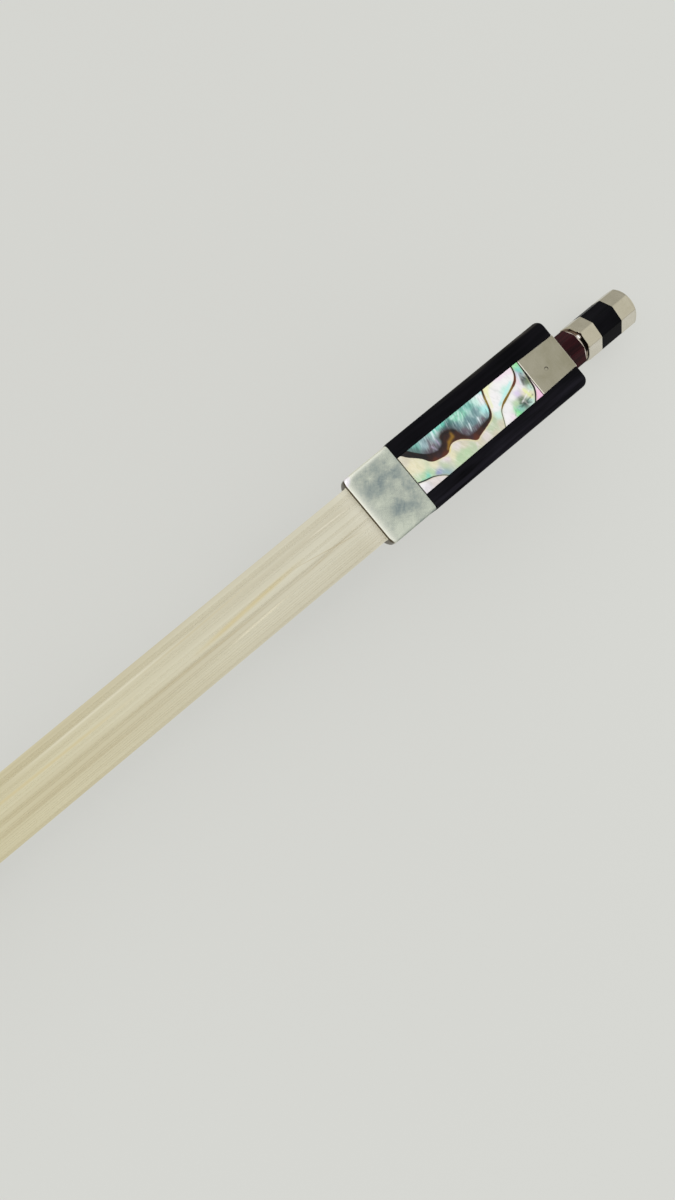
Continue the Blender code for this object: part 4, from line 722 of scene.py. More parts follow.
def painted(field, places):
    """Tones of a field's patches that flow into each other, with its soft strokes over them."""
    patches = FIELDS[field]
    gaps = [((places - (u, v)) ** 2).sum(1) for _, u, v in patches]
    weights = np.array([1 / (gap + TONE_SOFTNESS ** 2) ** 2 for gap in gaps])
    shades = np.array([colour(*TONES[tone]) for tone, _, _ in patches])
    shades = (weights.T @ shades) / weights.sum(0)[:, None]
    for tone, start, end, width, strength in STROKES.get(field, ()):
        gap, _ = distance_to(np.array([start, end]), places)
        share = strength * np.exp(-(gap / width) ** 2)[:, None]
        shades = shades * (1 - share) + np.array(colour(*TONES[tone])) * share
    return shades


def inside(outline, places):
    """Which places lie inside a closed outline."""
    held = np.zeros(len(places), bool)
    x, y = places.T
    for (x0, y0), (x1, y1) in zip(outline, np.roll(outline, -1, axis=0)):
        if y0 != y1:
            held ^= ((y0 > y) != (y1 > y)) & (x < x0 + (x1 - x0) * (y - y0) / (y1 - y0))
    return held


def signed_gap(points, corners, places):
    """Distance to a line, above zero on the side that the corners close off, and the line's width there."""
    line = smooth_line(points)
    gap, values = distance_to(line, places)
    outline = np.vstack([line[:, :2], corners])
    return np.where(inside(outline, places), gap, -gap), values


def paint_shell(mesh):
    """Writes the fields, strokes, band and veins on the slide's points."""
    co = point_values(mesh, "co")
    places = np.stack([(co[:, 0] - MOUTH_X) / MM, co[:, 1] / MM], 1)
    low, _ = signed_gap(BAND_LOW, BAND_LOW_CORNERS, places)
    high, _ = signed_gap(BAND_HIGH, BAND_HIGH_CORNERS, places)
    beyond = {}
    ink = np.full(len(places), -9.0)
    for name, (points, corners) in VEINS.items():
        gap, half = signed_gap(points, corners, places)
        beyond[name] = gap > 0
        ink = np.maximum(ink, half[:, 0] - np.abs(gap))
    tones = painted("pale", places)
    masks = {"teal": high > low, "heel": beyond["second"] & (low > 0), "corner": beyond["lower"],
             "point": beyond["heel"]}
    for field, mask in masks.items():
        tones[mask] = painted(field, places)[mask]
    write_numbers(mesh, band_low=low, band_high=high, vein=ink)
    for name, values in (("tone_field", tones), ("tone_band", painted("band", places)),
                         ("tone_vein", painted("vein", places))):
        data = mesh.attributes.new(name, "FLOAT_COLOR", "POINT").data
        data.foreach_set("color", values.astype(np.float32).ravel())


def slide_shell_finish():
    """Abalone: painted fields of nacre with silky fibres, a brown band and thin dark veins."""
    f = Finish("slide_abalone", Roughness=0.18, Specular_IOR_Level=0.25, Coat_Weight=0.12,
               Coat_Roughness=0.05)
    wobble = f.math("MULTIPLY_ADD", f.noise(1.6, roughness=0.6), 0.24, -0.12)
    fine = f.math("MULTIPLY_ADD", f.noise(3.0, detail=2.0), 0.05, -0.025)
    low = f.plus(f.attribute("band_low"), f.times(wobble, 0.5))
    high = f.plus(f.attribute("band_high"), wobble)
    vein = f.plus(f.attribute("vein"), fine)
    along = f.along()

    rays = f.noise(2.4, stretch=(1.0, 0.17, 1), roughness=0.6, distortion=0.25, turn=-0.22)
    silk = f.noise(1.7, stretch=(1.0, 0.3, 1), detail=4.0, roughness=0.65, distortion=0.5, turn=0.35)
    cloud = f.noise(0.8, distortion=0.8)
    field = f.attribute("tone_field", "Color")
    teal = f.mix(f.span(rays, 0.5, 0.7, 0.0, 0.5), field, (214, 238, 236))
    teal = f.mix(f.span(rays, 0.48, 0.3, 0.0, 0.5), teal, (52, 84, 92))
    dusk = f.times(f.span(high, 1.5, 0.2, 0.0, 0.65, smooth=True), f.span(along, 30.6, 29.0))
    teal = f.mix(dusk, teal, (62, 54, 64))
    pale = f.mix(f.span(silk, 0.5, 0.75, 0.0, 0.4), field, (250, 247, 240))
    pale = f.mix(f.span(silk, 0.48, 0.28, 0.0, 0.22), pale, (140, 156, 138))
    pale = f.mix(f.span(cloud, 0.55, 0.75, 0.0, 0.15), pale, (208, 226, 206))
    tone = f.mix(f.span(high, -0.35, 0.1, smooth=True), pale, teal)

    band = f.mix(f.span(silk, 0.45, 0.7, 0.0, 0.2), f.attribute("tone_band", "Color"), (78, 42, 22))
    rim = f.times(f.span(low, -0.26, -0.06, 0.0, 0.5), f.span(along, 15.5, 17.5))
    band = f.mix(rim, band, (112, 58, 20))
    glow = f.times(f.span(low, 0.42, 0.0, 0.0, 0.45), f.span(low, -0.02, 0.02))
    tone = f.mix(f.times(glow, f.span(along, 15, 18)), tone, (232, 214, 140))
    soft = f.times(f.span(along, 15.5, 19.0), f.span(along, 30.4, 28.6))
    fade = f.math("MULTIPLY_ADD", soft, 0.36, 0.12)
    held = f.times(f.span(low, 0.04, -0.04), f.span(high, fade, -0.12, smooth=True))
    tone = f.mix(held, tone, band)
    tone = f.mix(f.span(vein, -0.3, 0.0, 0.0, 0.3), tone, (196, 190, 110))
    tone = f.mix(f.span(vein, -0.035, 0.035), tone, f.attribute("tone_vein", "Color"))
    f.set(Base_Color=tone)
    f.bump(f.plus(silk, rays), 0.006)
    return f


def eye_shell_finish():
    """The same shell, cut small: nacre tones that run across a dark line or two."""
    f = Finish("eye_abalone", Roughness=0.16, Coat_Weight=0.2, Coat_Roughness=0.06)
    flow = f.noise(0.5, stretch=(1, 1, 0.6), detail=4.0, distortion=1.6)
    lines = f.noise(0.3, distortion=0.8)
    tones = ((0.3, "teal"), (0.42, "aqua"), (0.5, "cream"), (0.58, "rose"), (0.7, "mint"))
    tone = f.ramp(flow, *((level, *TONES[name]) for level, name in tones))
    f.set(Base_Color=f.mix(f.near(lines, 0.52, 0.02, 0.008), tone, (50, 30, 20)))
    f.bump(flow, 0.01)
    return f


def face_outward(bm):
    """Makes every face of a closed mesh point out of it."""
    bm.normal_update()
    bmesh.ops.recalc_face_normals(bm, faces=bm.faces)
    if bm.calc_volume(signed=True) < 0:
        bmesh.ops.reverse_faces(bm, faces=bm.faces)
    return bm


def add_loft(bm, rings, wrap=False):
    """Adds faces through rings of equal length, with caps, or joined end to end."""
    loops = [[bm.verts.new(point) for point in ring] for ring in rings]
    pairs = list(zip(loops, loops[1:]))
    if wrap:
        pairs.append((loops[-1], loops[0]))
    else:
        bm.faces.new(loops[0])
        bm.faces.new(loops[-1])
    for near, far in pairs:
        for i in range(len(near)):
            bm.faces.new((near[i - 1], near[i], far[i], far[i - 1]))


def loft(rings, wrap=False):
    """A closed mesh through rings of equal length."""
    bm = bmesh.new()
    add_loft(bm, rings, wrap)
    return face_outward(bm)


def piece(name, bm, finish, body, replaces, smooth=SHARP_DEGREES):
    """A finished piece of the bow that rides on a body."""
    mesh = bpy.data.meshes.new(name)
    bm.to_mesh(mesh)
    bm.free()
    mesh.shade_smooth()
    mesh.set_sharp_from_angle(angle=math.radians(smooth))
    mesh.materials.append(finish.material)
    thing = bpy.data.objects.new(name, mesh)
    bpy.context.scene.collection.objects.link(thing)
    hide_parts(*replaces)
    if body:
        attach(thing, body)
    return thing


def welded(node):
    """A CAD node's own form, with its shared points joined."""
    bm = bmesh.new()
    bm.from_mesh(NODES[node].data)
    bmesh.ops.remove_doubles(bm, verts=bm.verts, dist=WELD)
    return bm


def refined(node, finish, body, width, shortest=1.2):
    """A CAD node's own form with its long outer edges rounded. Width and shortest edge in mm."""
    bm = welded(node)
    bmesh.ops.dissolve_limit(bm, angle_limit=math.radians(0.5), verts=bm.verts, edges=bm.edges)
    face_outward(bm)
    edges = [e for e in bm.edges if len(e.link_faces) == 2 and e.calc_length() > shortest * MM
             and e.calc_face_angle_signed() > math.radians(SHARP_DEGREES)]
    bmesh.ops.bevel(bm, geom=edges, offset=width * MM, segments=2, profile=0.5, affect="EDGES",
                    clamp_overlap=True)
    return piece(node + "_fine", bm, finish, body, [node])


def octagon_reach(angle, flats, sharpness, roll=0.0):
    """Distance from the axis to a softly cornered octagon."""
    total = sum(max(0.0, math.cos(angle - roll - k * math.pi / 4)) ** sharpness for k in range(8))
    return flats / 2 * total ** (-1 / sharpness)


def ring_at(x, centre_z, reach, steps):
    """Points round the stick's axis at x, at the distance that reach gives for each angle."""
    angles = [2 * math.pi * i / steps for i in range(steps)]
    return [(x, reach(a) * math.cos(a), centre_z + reach(a) * math.sin(a)) for a in angles]


def turned_piece(name, profile, start, flats, finish):
    """An octagon bar cut by a turned profile of (distance from start, radius), in millimetres."""
    rings = []
    for x, radius in smooth_stations(profile):

        def reach(a):
            return min(octagon_reach(a, flats, BUTTON_CORNERS, BUTTON_ROLL), radius * MM)

        rings.append(ring_at(start + x * MM, AXIS_Z, reach, BUTTON_STEPS))
    piece(name + "_fine", loft(rings), finish, "screw", [name], 20)


def smooth_stations(profile):
    """Extra points along a profile, so that no turned stretch is longer than a step."""
    out = [profile[0]]
    for (x0, r0), (x1, r1) in zip(profile, profile[1:]):
        parts = max(1, math.ceil(min(abs(x1 - x0), abs(r1 - r0) * 4 + 0.3) / TURNED_STEP))
        for i in range(1, parts + 1):
            out.append((x0 + (x1 - x0) * i / parts, r0 + (r1 - r0) * i / parts))
    return out


def button_silver():
    """Polished nickel silver: a painted highlight on its lower facets, painted shade along their edge, and a
    groove dark with old polish and with painted reflections.
    """
    f = Finish("button_silver", Metallic=1.0)
    clouds = f.noise(0.4, distortion=0.3)
    lines = f.noise(7.0, stretch=(0.1, 1, 1), detail=2.0)
    tone = f.share(0.3, lines, clouds)
    face = f.ramp(tone, (0.35, 189, 182, 159), (0.65, 199, 192, 170))
    # Paler tone for the lower facets: a painted highlight
    clear = f.ramp(tone, (0.35, 218, 212, 197), (0.65, 229, 224, 212))
    across, up = f.axis("Y"), f.minus(f.axis("Z"), AXIS_Z / MM)
    silver = f.mix(f.span(across, LOWER_FACET_Y + 0.06, LOWER_FACET_Y - 0.06), face, clear)
    # Painted shade: a dark line along the lower facets' edge
    facet_edge_shade = f.times(f.near(across, LOWER_FACET_Y, 0.12, 0.03, 0.55), f.span(up, 0.0, 1.0))
    silver = f.mix(facet_edge_shade, silver, (150, 141, 120))
    silver = f.mix(f.near(f.axis("X"), CAP_HIGH.x / MM - CAP_SEAM, 0.1, 0.03, 0.4), silver, (158, 152, 138))
    reach = f.reach(across, up)
    along = f.minus(f.axis("X"), RING_LOW.x / MM)
    groove = f.times(f.span(along, 0.36, 0.44), f.span(along, 1.1, 0.95))
    groove = f.times(groove, f.span(reach, 4.5, 4.34))
    # The groove: dark old polish with painted reflections, brown towards +Y and black towards -Y, paler at
    # the low side, and a white painted highlight at HIGHLIGHT_Y
    old = f.mix(f.span(across, 0.9, 0.1), (118, 100, 84), (26, 22, 19))
    pale_low_reflection = f.times(f.span(across, -2.6, -3.1), f.span(reach, 4.2, 4.1))
    old = f.mix(pale_low_reflection, old, (176, 166, 150))
    old = f.mix(f.near(across, HIGHLIGHT_Y, 0.6, 0.25, 0.85), old, (250, 250, 246))
    silver = f.mix(f.span(along, 0.42, 0.34, 0.0, 0.5), silver, (214, 198, 190))
    f.set(Base_Color=f.mix(groove, silver, old), Roughness=f.span(clouds, 0.3, 0.7, 0.14, 0.2))
    f.bump(lines, 0.003)
    return f


def make_button(silver, black):
    """Ring with its turned bead and cove, ebony core and eased cap, closed up against each other."""
    core_start, core_end = RING_HIGH.x + BUTTON_REACH, CAP_LOW.x - BUTTON_REACH
    cap_start = core_end + BUTTON_JOIN
    cap_length = (CAP_HIGH.x - cap_start) / MM
    ring = COLLAR + [((core_start - BUTTON_JOIN - RING_LOW.x) / MM, UNCUT)]
    core = [(0.0, UNCUT), ((core_end - core_start) / MM, UNCUT)]
    cap = [(0.0, UNCUT)] + [(cap_length - back, radius) for back, radius in CAP_EDGE]
    turned_piece("button_ring", ring, RING_LOW.x, BUTTON_FLATS, silver)
    turned_piece("button_core", core, core_start, CORE_FLATS, black)
    turned_piece("button_cap", cap, cap_start, BUTTON_FLATS, silver)


def ferrule_ring(x, inset, narrowed):
    """The ferrule's D at x, moved in by an inset, and narrowed where its front corners are rounded."""
    half = FERRULE_HIGH.y - inset - narrowed
    top = FACE_Z - inset
    side = FACE_Z - FERRULE_SIDE
    depth = side - FERRULE_LOW.z - inset
    corner = max(FERRULE_TOP_RADIUS - inset, FERRULE_INNER_RADIUS)
    turns = [math.pi / 2 * i / FERRULE_CORNER_STEPS for i in range(FERRULE_CORNER_STEPS + 1)]
    points = [(half - corner + corner * math.cos(a), top - corner + corner * math.sin(a)) for a in turns]
    shares = [1 - 2 * i / FERRULE_FLAT_STEPS for i in range(1, FERRULE_FLAT_STEPS)]
    flat = [((half - corner) * share, top) for share in shares]
    points = points + flat + [(-y, z) for y, z in reversed(points)]
    turns = [math.pi * (1 + i / FERRULE_ROUND_STEPS) for i in range(FERRULE_ROUND_STEPS + 1)]
    points += [(half * math.cos(a), side + depth * math.sin(a)) for a in turns]
    return [(x, y, z) for y, z in points]


def rounding(radius, back):
    """How far a rounded edge falls short of its corner, so far back from its start."""
    return radius - math.sqrt(max(0.0, radius ** 2 - max(0.0, radius - back) ** 2))


def make_ferrule(silver):
    """The D-shaped band with its rounded front rim, bright with a painted highlight, and its rounded front
    corners.
    """
    end = FERRULE_HIGH.x + FERRULE_REACH
    plan = FERRULE_PLAN_RADIUS

    def outer(back):
        return ferrule_ring(MOUTH_X + back, rounding(FERRULE_FRONT_BEVEL, back), rounding(plan, back))

    def bore(back):
        spread = min(FERRULE_WALL, FERRULE_LIP + back) - FERRULE_WALL
        return ferrule_ring(MOUTH_X + back, FERRULE_WALL, max(0.0, rounding(plan, back) + spread))

    turns = [math.pi / 2 * i / FERRULE_FRONT_STEPS for i in range(FERRULE_FRONT_STEPS + 1)]
    rings = [outer(plan * (1 - math.cos(a))) for a in turns]
    step = (end - MOUTH_X - plan) / FERRULE_LENGTH_STEPS
    rings += [outer(plan + step * i) for i in range(1, FERRULE_LENGTH_STEPS)]
    rings += [ferrule_ring(end - FERRULE_EASE, 0.0, 0.0), ferrule_ring(end, FERRULE_EASE, 0.0)]
    rings.append(ferrule_ring(end, FERRULE_WALL, 0.0))
    rings += [bore(depth * MM) for depth in BORE_DEPTHS_MM]
    ferrule = piece("ferrule_fine", loft(rings, wrap=True), silver, "frog", ["ferrule"], 40)
    paint_ferrule(ferrule.data)


def make_slide(finish):
    """The shell plate of the slide: a fine grid with eased edges."""
    length = SHELL_HIGH.x - SHELL_LOW.x
    start, end = SHELL_LOW.x - SLIDE_EASE, PLATE_LOW.x - 0.2 * MM
    top = FACE_Z - SLIDE_SUNK
    bottom = SHELL_LOW.z
    rings = []
    for i in range(SLIDE_ALONG + 1):
        x = start + (end - start) * i / SLIDE_ALONG
        share = (x - SHELL_LOW.x) / length
        half = SLIDE_FRONT_HALF + (SLIDE_REAR_HALF - SLIDE_FRONT_HALF) * share
        edge = SLIDE_EASE if i in (0, SLIDE_ALONG) else 0.0
        row = [(x, -half, bottom), (x, -half, top - SLIDE_EASE)]
        row += [(x, half * (2 * j / SLIDE_ACROSS - 1), top - edge) for j in range(1, SLIDE_ACROSS)]
        row += [(x, half, top - SLIDE_EASE), (x, half, bottom)]
        rings.append(row)
    shell = piece("slide_shell_fine", loft(rings), finish, "frog", ["slide_shell"], 40)
    paint_shell(shell.data)


def stick_centre(x):
    """Height of the stick's centre line, as the frame has it."""
    span = STRAIGHT_END_X - STICK_HEAD_X
    t = max(0.0, (STRAIGHT_END_X - x) / span)
    fall = (STICK_TIP_DIAMETER / 2 - AXIS_Z) * (3 * t ** 2 - 2 * t ** 3)
    return AXIS_Z + fall + CAMBER_SLOPE * span * (t ** 2 - t ** 3)


def stick_ring(x):
    """The stick's section at x: an octagon with eased corners that turns round towards the head."""
    t = min(1.0, max(0.0, (STRAIGHT_END_X - x) / (STRAIGHT_END_X - STICK_HEAD_X)))
    radius = STICK_FLATS / 2 - (STICK_FLATS - STICK_TIP_DIAMETER) / 2 * t ** STICK_TAPER
    roundness = min(1.0, max(0.0, (STRAIGHT_END_X - x) / ROUNDING_LENGTH))

    def reach(a):
        return (1 - roundness) * octagon_reach(a, 2 * radius, STICK_CORNERS) + roundness * radius

    return ring_at(x, stick_centre(x), reach, STICK_STEPS)


def close_mortise(bm):
    """Takes the hidden walls out of the head's mortise, which its wedge and knot fill."""
    boxes = [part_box("head_wedge"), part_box("head_hair_knot")]
    room = 0.25 * MM
    low = [min(box[0][i] for box in boxes) - room for i in range(3)]
    high = [max(box[1][i] for box in boxes) + room for i in range(3)]
    walls = [face for face in bm.faces
             if all(low[i] < v.co[i] < high[i] for v in face.verts for i in range(3))]
    bmesh.ops.delete(bm, geom=walls, context="FACES")


def make_shaft(wood):
    """The stick's shaft as one fine loft, its rear edge eased."""
    end = RING_LOW.x - SHAFT_GAP
    step = (STRAIGHT_END_X - STICK_HEAD_X) / CAMBER_STATIONS
    stations = [STICK_HEAD_X + step * i for i in range(CAMBER_STATIONS + 1)]
    stations += [MOUTH_X + place * MM for place in (-100, -60, -20, 0, 30)]
    stations += [FROG_HIGH.x, FROG_HIGH.x + 8 * MM, end - SHAFT_EASE]
    rings = [stick_ring(x) for x in stations]
    share = SHAFT_END_SHARE
    rings.append([(end, y * share, AXIS_Z + (z - AXIS_Z) * share) for _, y, z in stick_ring(end)])
    piece("stick_shaft", loft(rings), wood, "stick", ["stick"], 30)


def make_head(wood):
    """The head, smoothed from the frame's own form."""
    bm = welded("stick")
    geometry = bm.verts[:] + bm.edges[:] + bm.faces[:]
    bmesh.ops.bisect_plane(bm, geom=geometry, plane_co=(HEAD_CUT_X, 0, 0), plane_no=(1, 0, 0),
                           clear_outer=True)
    close_mortise(bm)
    bmesh.ops.holes_fill(bm, edges=[e for e in bm.edges if e.is_boundary])
    head = piece("stick_head", bm, wood, "stick", ["stick"], 50)
    remesh = head.modifiers.new("even", "REMESH")
    remesh.mode = "VOXEL"
    remesh.voxel_size = HEAD_VOXEL
    soften = head.modifiers.new("soften", "SMOOTH")
    soften.factor = 0.5
    soften.iterations = 9
    shade = head.modifiers.new("shade", "WEIGHTED_NORMAL")
    shade.weight = 50
    bake_modifiers(head)


def bake_modifiers(thing):
    """Applies a piece's modifiers, and shades the result smooth."""
    graph = bpy.context.evaluated_depsgraph_get()
    mesh = bpy.data.meshes.new_from_object(thing.evaluated_get(graph))
    thing.modifiers.clear()
    thing.data = mesh
    mesh.shade_smooth()


def strand_rings(rng, start, end, radius):
    """A thin round tube along the hair, with a slow sideways drift."""
    sway = rng.uniform(-0.16, 0.16) * MM
    phase = rng.uniform(0, 2 * math.pi)
    waves = rng.uniform(1.0, 2.5)
    turns = [2 * math.pi * k / STRAND_SIDES for k in range(STRAND_SIDES)]
    rings = []
    for i in range(HAIR_STATIONS):
        t = i / (HAIR_STATIONS - 1)
        x, y, z = start + (end - start) * t
        y += sway * math.sin(math.pi * t) * math.sin(phase + waves * 2 * math.pi * t)
        rings.append([(x, y + radius * math.cos(a), z + radius * math.sin(a)) for a in turns])
    return rings


def wave(turns):
    return math.sin(2 * math.pi * turns)


def hair_section(t, half_width, top, x):
    """The hank's section: a flat top of fine drifting ridges, rounded sides and a plain lower side."""
    points = []
    for i in range(HAIR_RIDGE_POINTS + 1):
        s = i / HAIR_RIDGE_POINTS
        drift = 0.9 * wave(1.1 * s + 1.3 * t) + 0.4 * wave(3.7 * s - 0.9 * t)
        height = HAIR_RIDGE * (1 + 0.4 * wave(5.3 * s + 0.7 * t))
        across = 1 - 2 * s
        rise = height * math.sin(2 * math.pi * HAIR_RIDGES * s + drift) - HAIR_EDGE_FALL * abs(across) ** 10
        points.append((x, half_width * across, top + rise))
    for i in range(1, 12):
        turn = math.pi * i / 12
        low = top - HAIR_EDGE_FALL - HAIR_BELLY * math.sin(turn) ** 0.4
        points.append((x, -half_width * math.cos(turn), low))
    return points


def make_hair(base, strands):
    """The ribbon of hair, stretched between head and frog, with loose hairs along its top."""
    rng = random.Random(11)
    head_x, frog_x = HAIR_LOW.x + 0.2 * MM, MOUTH_X + 1.0 * MM
    head_top, frog_top = HAIR_LOW.z + 0.75 * MM, HAIR_HIGH.z - 0.03 * MM
    rings = []
    for i in range(CORE_STATIONS):
        t = i / (CORE_STATIONS - 1)
        half = HAIR_HEAD_HALF + (HAIR_FROG_HALF - HAIR_HEAD_HALF) * t
        top = head_top + (frog_top - head_top) * t - 0.05 * MM
        rings.append(hair_section(t, half, top, head_x + (frog_x - head_x) * t))
    core = piece("hair_core", loft(rings), base, None, ["hair_ribbon"], FLAT_DEGREES)
    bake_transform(core)
    for number, finish in enumerate(strands):
        bm = bmesh.new()
        for _ in range(HAIR_STRANDS // len(strands)):
            side = rng.uniform(-0.98, 0.98)
            sink = HAIR_EDGE_FALL * abs(side) ** 10 + rng.uniform(0.055, 0.075) * MM
            near = Vector((head_x, side * HAIR_HEAD_HALF + rng.uniform(-0.4, 0.4) * MM, head_top - sink))
            far = Vector((frog_x, side * HAIR_FROG_HALF, frog_top - sink))
            add_loft(bm, strand_rings(rng, near, far, STRAND_RADIUS * rng.uniform(0.85, 1.1)))
        hairs = piece(f"hair_strands_{number + 1}", face_outward(bm), finish, None,
                      ["hair_ribbon"], FLAT_DEGREES)
        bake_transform(hairs)


def make_winding(wire):
    """Fine wire in close turns round the softened octagon."""
    low, high = WINDING_LOW.x + WIRE_RADIUS, WINDING_HIGH.x - WIRE_RADIUS
    turns = int((high - low) / WIRE_PITCH)
    count = turns * WIRE_TURN_STEPS
    along = Vector((1, 0, 0))
    rings = []
    for i in range(count + 1):
        a = 2 * math.pi * i / WIRE_TURN_STEPS
        x = low + (high - low) * i / count
        reach = octagon_reach(a, STICK_FLATS + WIRE_LIFT, WINDING_CORNERS) + WIRE_RADIUS
        out = Vector((0, math.cos(a), math.sin(a)))
        centre = Vector((x, 0, stick_centre(x))) + out * reach
        turns = [2 * math.pi * k / WIRE_SIDES for k in range(WIRE_SIDES)]
        rings.append([centre + WIRE_RADIUS * (out * math.cos(b) + along * math.sin(b)) for b in turns])
    piece("winding_wire", loft(rings), wire, "stick", ["winding"], 60)


def make_leather(hide):
    """The thumb leather: a softened octagon with skived ends and a seam on its lower side."""
    low, high = LEATHER_LOW.x, LEATHER_HIGH.x
    rings = []
    for i in range(LEATHER_STATIONS + 1):
        x = low + (high - low) * i / LEATHER_STATIONS
        end = min(x - low, high - x)
        skive = 1 - max(0.0, 1 - end / SKIVE_LENGTH) ** 2
        thickness = LEATHER_EDGE + LEATHER_SWELL * math.sqrt(max(0.0, skive))
        seam_place = SEAM_DEGREES + 6 * math.sin(300 * x)

        def reach(a):
            aside = (math.degrees(a) % 360 - seam_place) / SEAM_HALF_DEGREES
            seam = SEAM_DEPTH * math.exp(-aside ** 2)
            return octagon_reach(a, STICK_FLATS, LEATHER_CORNERS) + thickness - seam

        rings.append(ring_at(x, AXIS_Z, reach, LEATHER_STEPS))
    piece("thumb_leather_fine", loft(rings), hide, "stick", ["thumb_leather"], 50)


def heel_silver():
    """The heel plate's warm worn silver, with a painted highlight on its edges and the dark fine joint round
    its flush pin, darkened by painted shade on one side.
    """
    f = Finish("heel_silver", Metallic=1.0)
    clouds = f.noise(0.32, distortion=0.3)
    lines = f.noise(6.0, stretch=(1, 0.12, 1), detail=2.0)
    fade = f.span(f.axis("X"), PLATE_LOW.x / MM, PLATE_HIGH.x / MM, 0.08, -0.08)
    tone = f.plus(f.share(0.25, lines, clouds), fade)
    face = f.ramp(tone, (0.3, 154, 149, 126), (0.7, 171, 166, 146))
    up = f.node("SeparateXYZ", {0: f.node("NewGeometry").outputs["Normal"]}).outputs["Z"]
    # Painted highlight on faces that turn away from up, along the plate's bevelled edges
    worn = f.mix(f.near(up, 0.0, 0.97, 0.8), face, (226, 221, 206))
    centre = (PIN_LOW + PIN_HIGH) / (2 * MM)
    across, length = f.minus(f.axis("Y"), centre.y), f.minus(f.axis("X"), centre.x)
    joint = f.near(f.reach(across, length), PIN_RADIUS / MM, 0.12, 0.05)
    # Dark joint round the pin, made darker on one side by painted shade
    joint_and_shade = f.times(joint, f.span(f.plus(across, length), 0.4, -0.3, 1.0, 0.15))
    f.set(Base_Color=f.mix(joint_and_shade, worn, (40, 36, 30)), Roughness=f.span(clouds, 0.3, 0.7, 0.3, 0.4))
    f.bump(lines, 0.004)
    return f


def make_heel_plate(silver):
    """The lower heel plate with its crisp small bevel."""
    bottom, bevel = PLATE_LOW.z, HEEL_BEVEL

    def row(x, top):
        share = (x - PLATE_LOW.x) / (PLATE_HIGH.x - PLATE_LOW.x)
        half = HEEL_FRONT_HALF + (HEEL_REAR_HALF - HEEL_FRONT_HALF) * share
        return [(x, -half, bottom), (x, -half, top - bevel), (x, -half + bevel, top),
                (x, half - bevel, top), (x, half, top - bevel), (x, half, bottom)]

    rings = [row(PLATE_LOW.x, FACE_Z - bevel), row(PLATE_LOW.x + bevel, FACE_Z),
             row(PLATE_HIGH.x - bevel, FACE_Z), row(PLATE_HIGH.x, FACE_Z - bevel)]
    piece("heel_plate_fine", loft(rings), silver, "frog", ["heel_plate_lower"], 25)


def make_heel_pin(silver):
    """The heel plate's flush pin, its rim eased."""
    bm = bmesh.new()
    bmesh.ops.create_cone(bm, cap_ends=True, segments=32, radius1=PIN_RADIUS, radius2=PIN_RADIUS,
                          depth=PIN_DEPTH)
    place = (PIN_LOW + PIN_HIGH) / 2
    bmesh.ops.translate(bm, verts=bm.verts, vec=(place.x, place.y, FACE_Z - PIN_DEPTH / 2 + PIN_PROUD))
    rim = [e for e in bm.edges if all(v.co.z > FACE_Z for v in e.verts)]
    bmesh.ops.bevel(bm, geom=rim, offset=PIN_BEVEL, segments=3, profile=0.5, affect="EDGES")
    piece("heel_pin_fine", bm, silver, "frog", ["heel_pin_lower"], 25)


def make_stage():
    """A plain pale floor."""
    bm = bmesh.new()
    bmesh.ops.create_grid(bm, x_segments=2, y_segments=2, size=FLOOR_HALF)
    mesh = bpy.data.meshes.new("floor")
    bm.to_mesh(mesh)
    bm.free()
    floor = bpy.data.objects.new("floor", mesh)
    bpy.context.scene.collection.objects.link(floor)
    f = Finish("floor_paper", Roughness=0.9, Specular_IOR_Level=0.1)
    tone = f.ramp(f.noise(0.002, detail=2.0), (0.3, 211, 211, 206), (0.7, 216, 217, 212))
    path = f.node("LightPath").outputs
    seen = f.math("MAXIMUM", path["Is Glossy Ray"], path["Is Transmission Ray"])
    share = f.times(f.math("MAXIMUM", path["Is Camera Ray"], seen), FLOOR_GLOW)
    f.set(Base_Color=f.mix(share, tone, (0, 0, 0)), Emission_Color=tone, Emission_Strength=share)
    floor.data.materials.append(f.material)


def make_sun(name, direction, strength, angle):
    """A soft sun that shines from the given direction."""
    lamp = bpy.data.lights.new(name, "SUN")
    lamp.energy = strength
    lamp.angle = math.radians(angle)
    sun = bpy.data.objects.new(name, lamp)
    sun.rotation_mode = "QUATERNION"
    sun.rotation_quaternion = Vector(direction).to_track_quat("Z", "Y")
    bpy.context.scene.collection.objects.link(sun)


def make_light():
    """An even pale studio: brightest low at the image's lower left, with a dark flag beside the button."""
    world = bpy.data.worlds.new("studio")
    bpy.context.scene.world = world
    world.use_nodes = True
    sky = Nodes(world.node_tree)
    ray = sky.node("TexCoord").outputs["Generated"]

    def towards(direction):
        """Cosine of the angle between the ray and a direction."""
        inputs = {0: ray, 1: Vector(direction).normalized()}
        return sky.node("VectorMath", inputs, operation="DOT_PRODUCT").outputs["Value"]

    glow = sky.span(towards(BRIGHT_SIDE), -0.6, 0.9, 0.8, 1.0, smooth=True)
    flag = sky.span(towards(FLAG_SIDE), 0.86, 0.97, 1.0, 0.68, smooth=True)
    background = sky.tree.nodes["Background"].inputs
    sky.feed(background["Strength"], sky.times(glow, flag))
    sky.feed(background["Color"], colour(253, 254, 255))
    make_sun("key", (-0.5, 0.6, 0.75), 0.5, 60)
    make_sun("fill", (0.6, -0.7, 0.5), 0.15, 90)


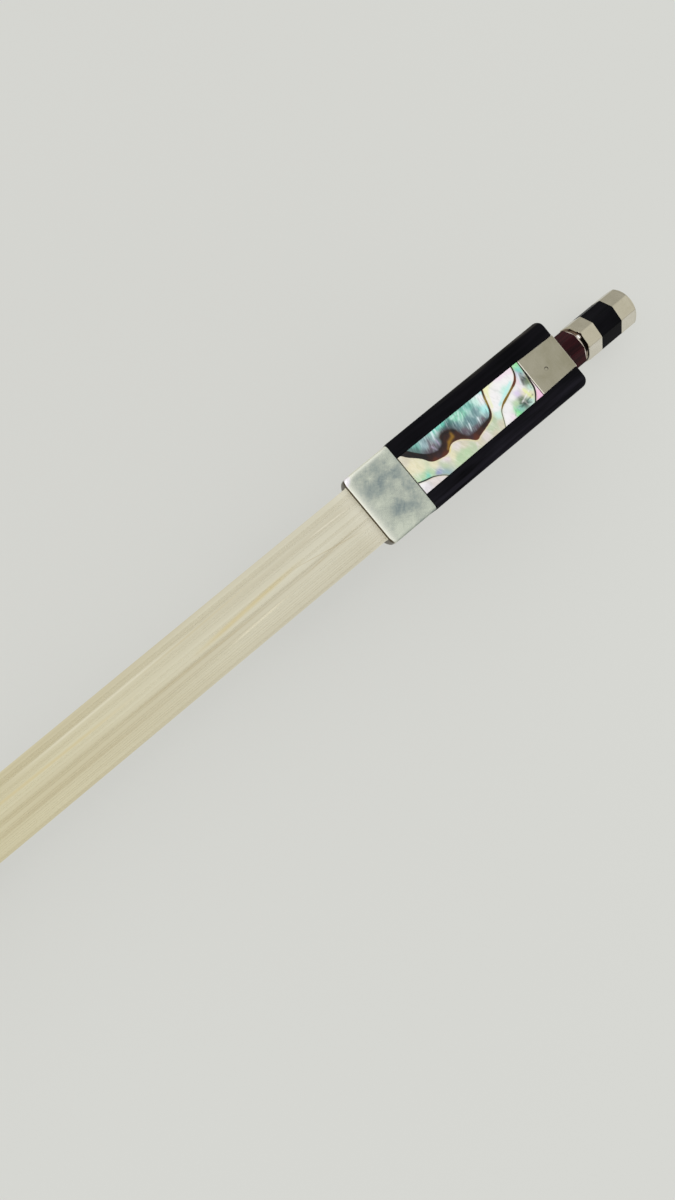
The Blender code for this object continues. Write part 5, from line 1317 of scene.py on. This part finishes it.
def make_camera():
    """The photograph's camera."""
    camera = bpy.data.objects.new("camera", bpy.data.cameras.new("camera"))
    camera.data.sensor_width = SENSOR_MM
    camera.data.lens = FOCAL_PIXELS * SENSOR_MM / PHOTO_LONG_SIDE
    camera.data.clip_start = 0.01
    right = CAMERA_RIGHT.normalized()
    down = (CAMERA_DOWN - right * CAMERA_DOWN.dot(right)).normalized()
    back = -right.cross(down)
    turn = Matrix((right, -down, back)).transposed().to_4x4()
    camera.matrix_world = Matrix.Translation(Vector((MOUTH_X, 0, FACE_Z)) + CAMERA_FROM_MOUTH) @ turn
    bpy.context.scene.collection.objects.link(camera)
    bpy.context.scene.camera = camera


def paint_nodes(finish, *nodes):
    """Gives CAD nodes that stay their finish."""
    for node in nodes:
        NODES[node].data.materials.clear()
        NODES[node].data.materials.append(finish.material)


def build():
    """Every piece and finish."""
    make_camera()
    make_light()
    make_stage()
    black, wood = ebony(), stick_wood()
    silver, plate, trim = button_silver(), heel_silver(), trim_silver()
    wire = plain_metal("silver_wire", (186, 182, 172), (222, 219, 210), 0.22)
    eye_shell = eye_shell_finish()
    # Hair finishes darkened by painted shade: a share of 0.06 for the ribbon, and 0, 0.06 and 0.14 for the
    # three groups of loose hairs
    base = hair_finish("hair_base", 0.06)
    strands = [hair_finish("hair_light", 0.0), hair_finish("hair_mid", 0.06), hair_finish("hair_deep", 0.14)]
    make_ferrule(ferrule_silver())
    make_slide(slide_shell_finish())
    make_heel_plate(plate)
    make_heel_pin(plate)
    make_button(silver, black)
    make_shaft(wood)
    make_head(wood)
    make_hair(base, strands)
    make_winding(wire)
    make_leather(leather())
    refined("frog_body", black, "frog", 0.14)
    refined("heel_plate_rear", plate, "frog", 0.08)
    for side in ("left", "right"):
        refined("eye_ring_" + side, trim, "frog", 0.12, 0.2)
        refined("eye_disc_" + side, eye_shell, "frog", 0.1, 0.2)
    refined("head_plate", bone(), "stick", 0.18, 0.4)
    paint_nodes(black_fibre(), "head_plate_liner")
    paint_nodes(maple(), "head_wedge", "ferrule_wedge", "frog_mortise_plug")
    paint_nodes(black, "slide_bed")
    paint_nodes(base, "head_hair_knot", "frog_hair_tail")
    paint_nodes(trim, "underslide", "underslide_pin_front", "underslide_pin_rear")
    paint_nodes(plate, "heel_pin_rear")
    paint_nodes(plain_metal("brass", (170, 136, 76), (206, 172, 106), 0.3), "eyelet")
    paint_nodes(plain_metal("steel", (150, 150, 152), (190, 190, 190), 0.28), "screw")


build()
bpy.context.scene.view_settings.view_transform = "Standard"
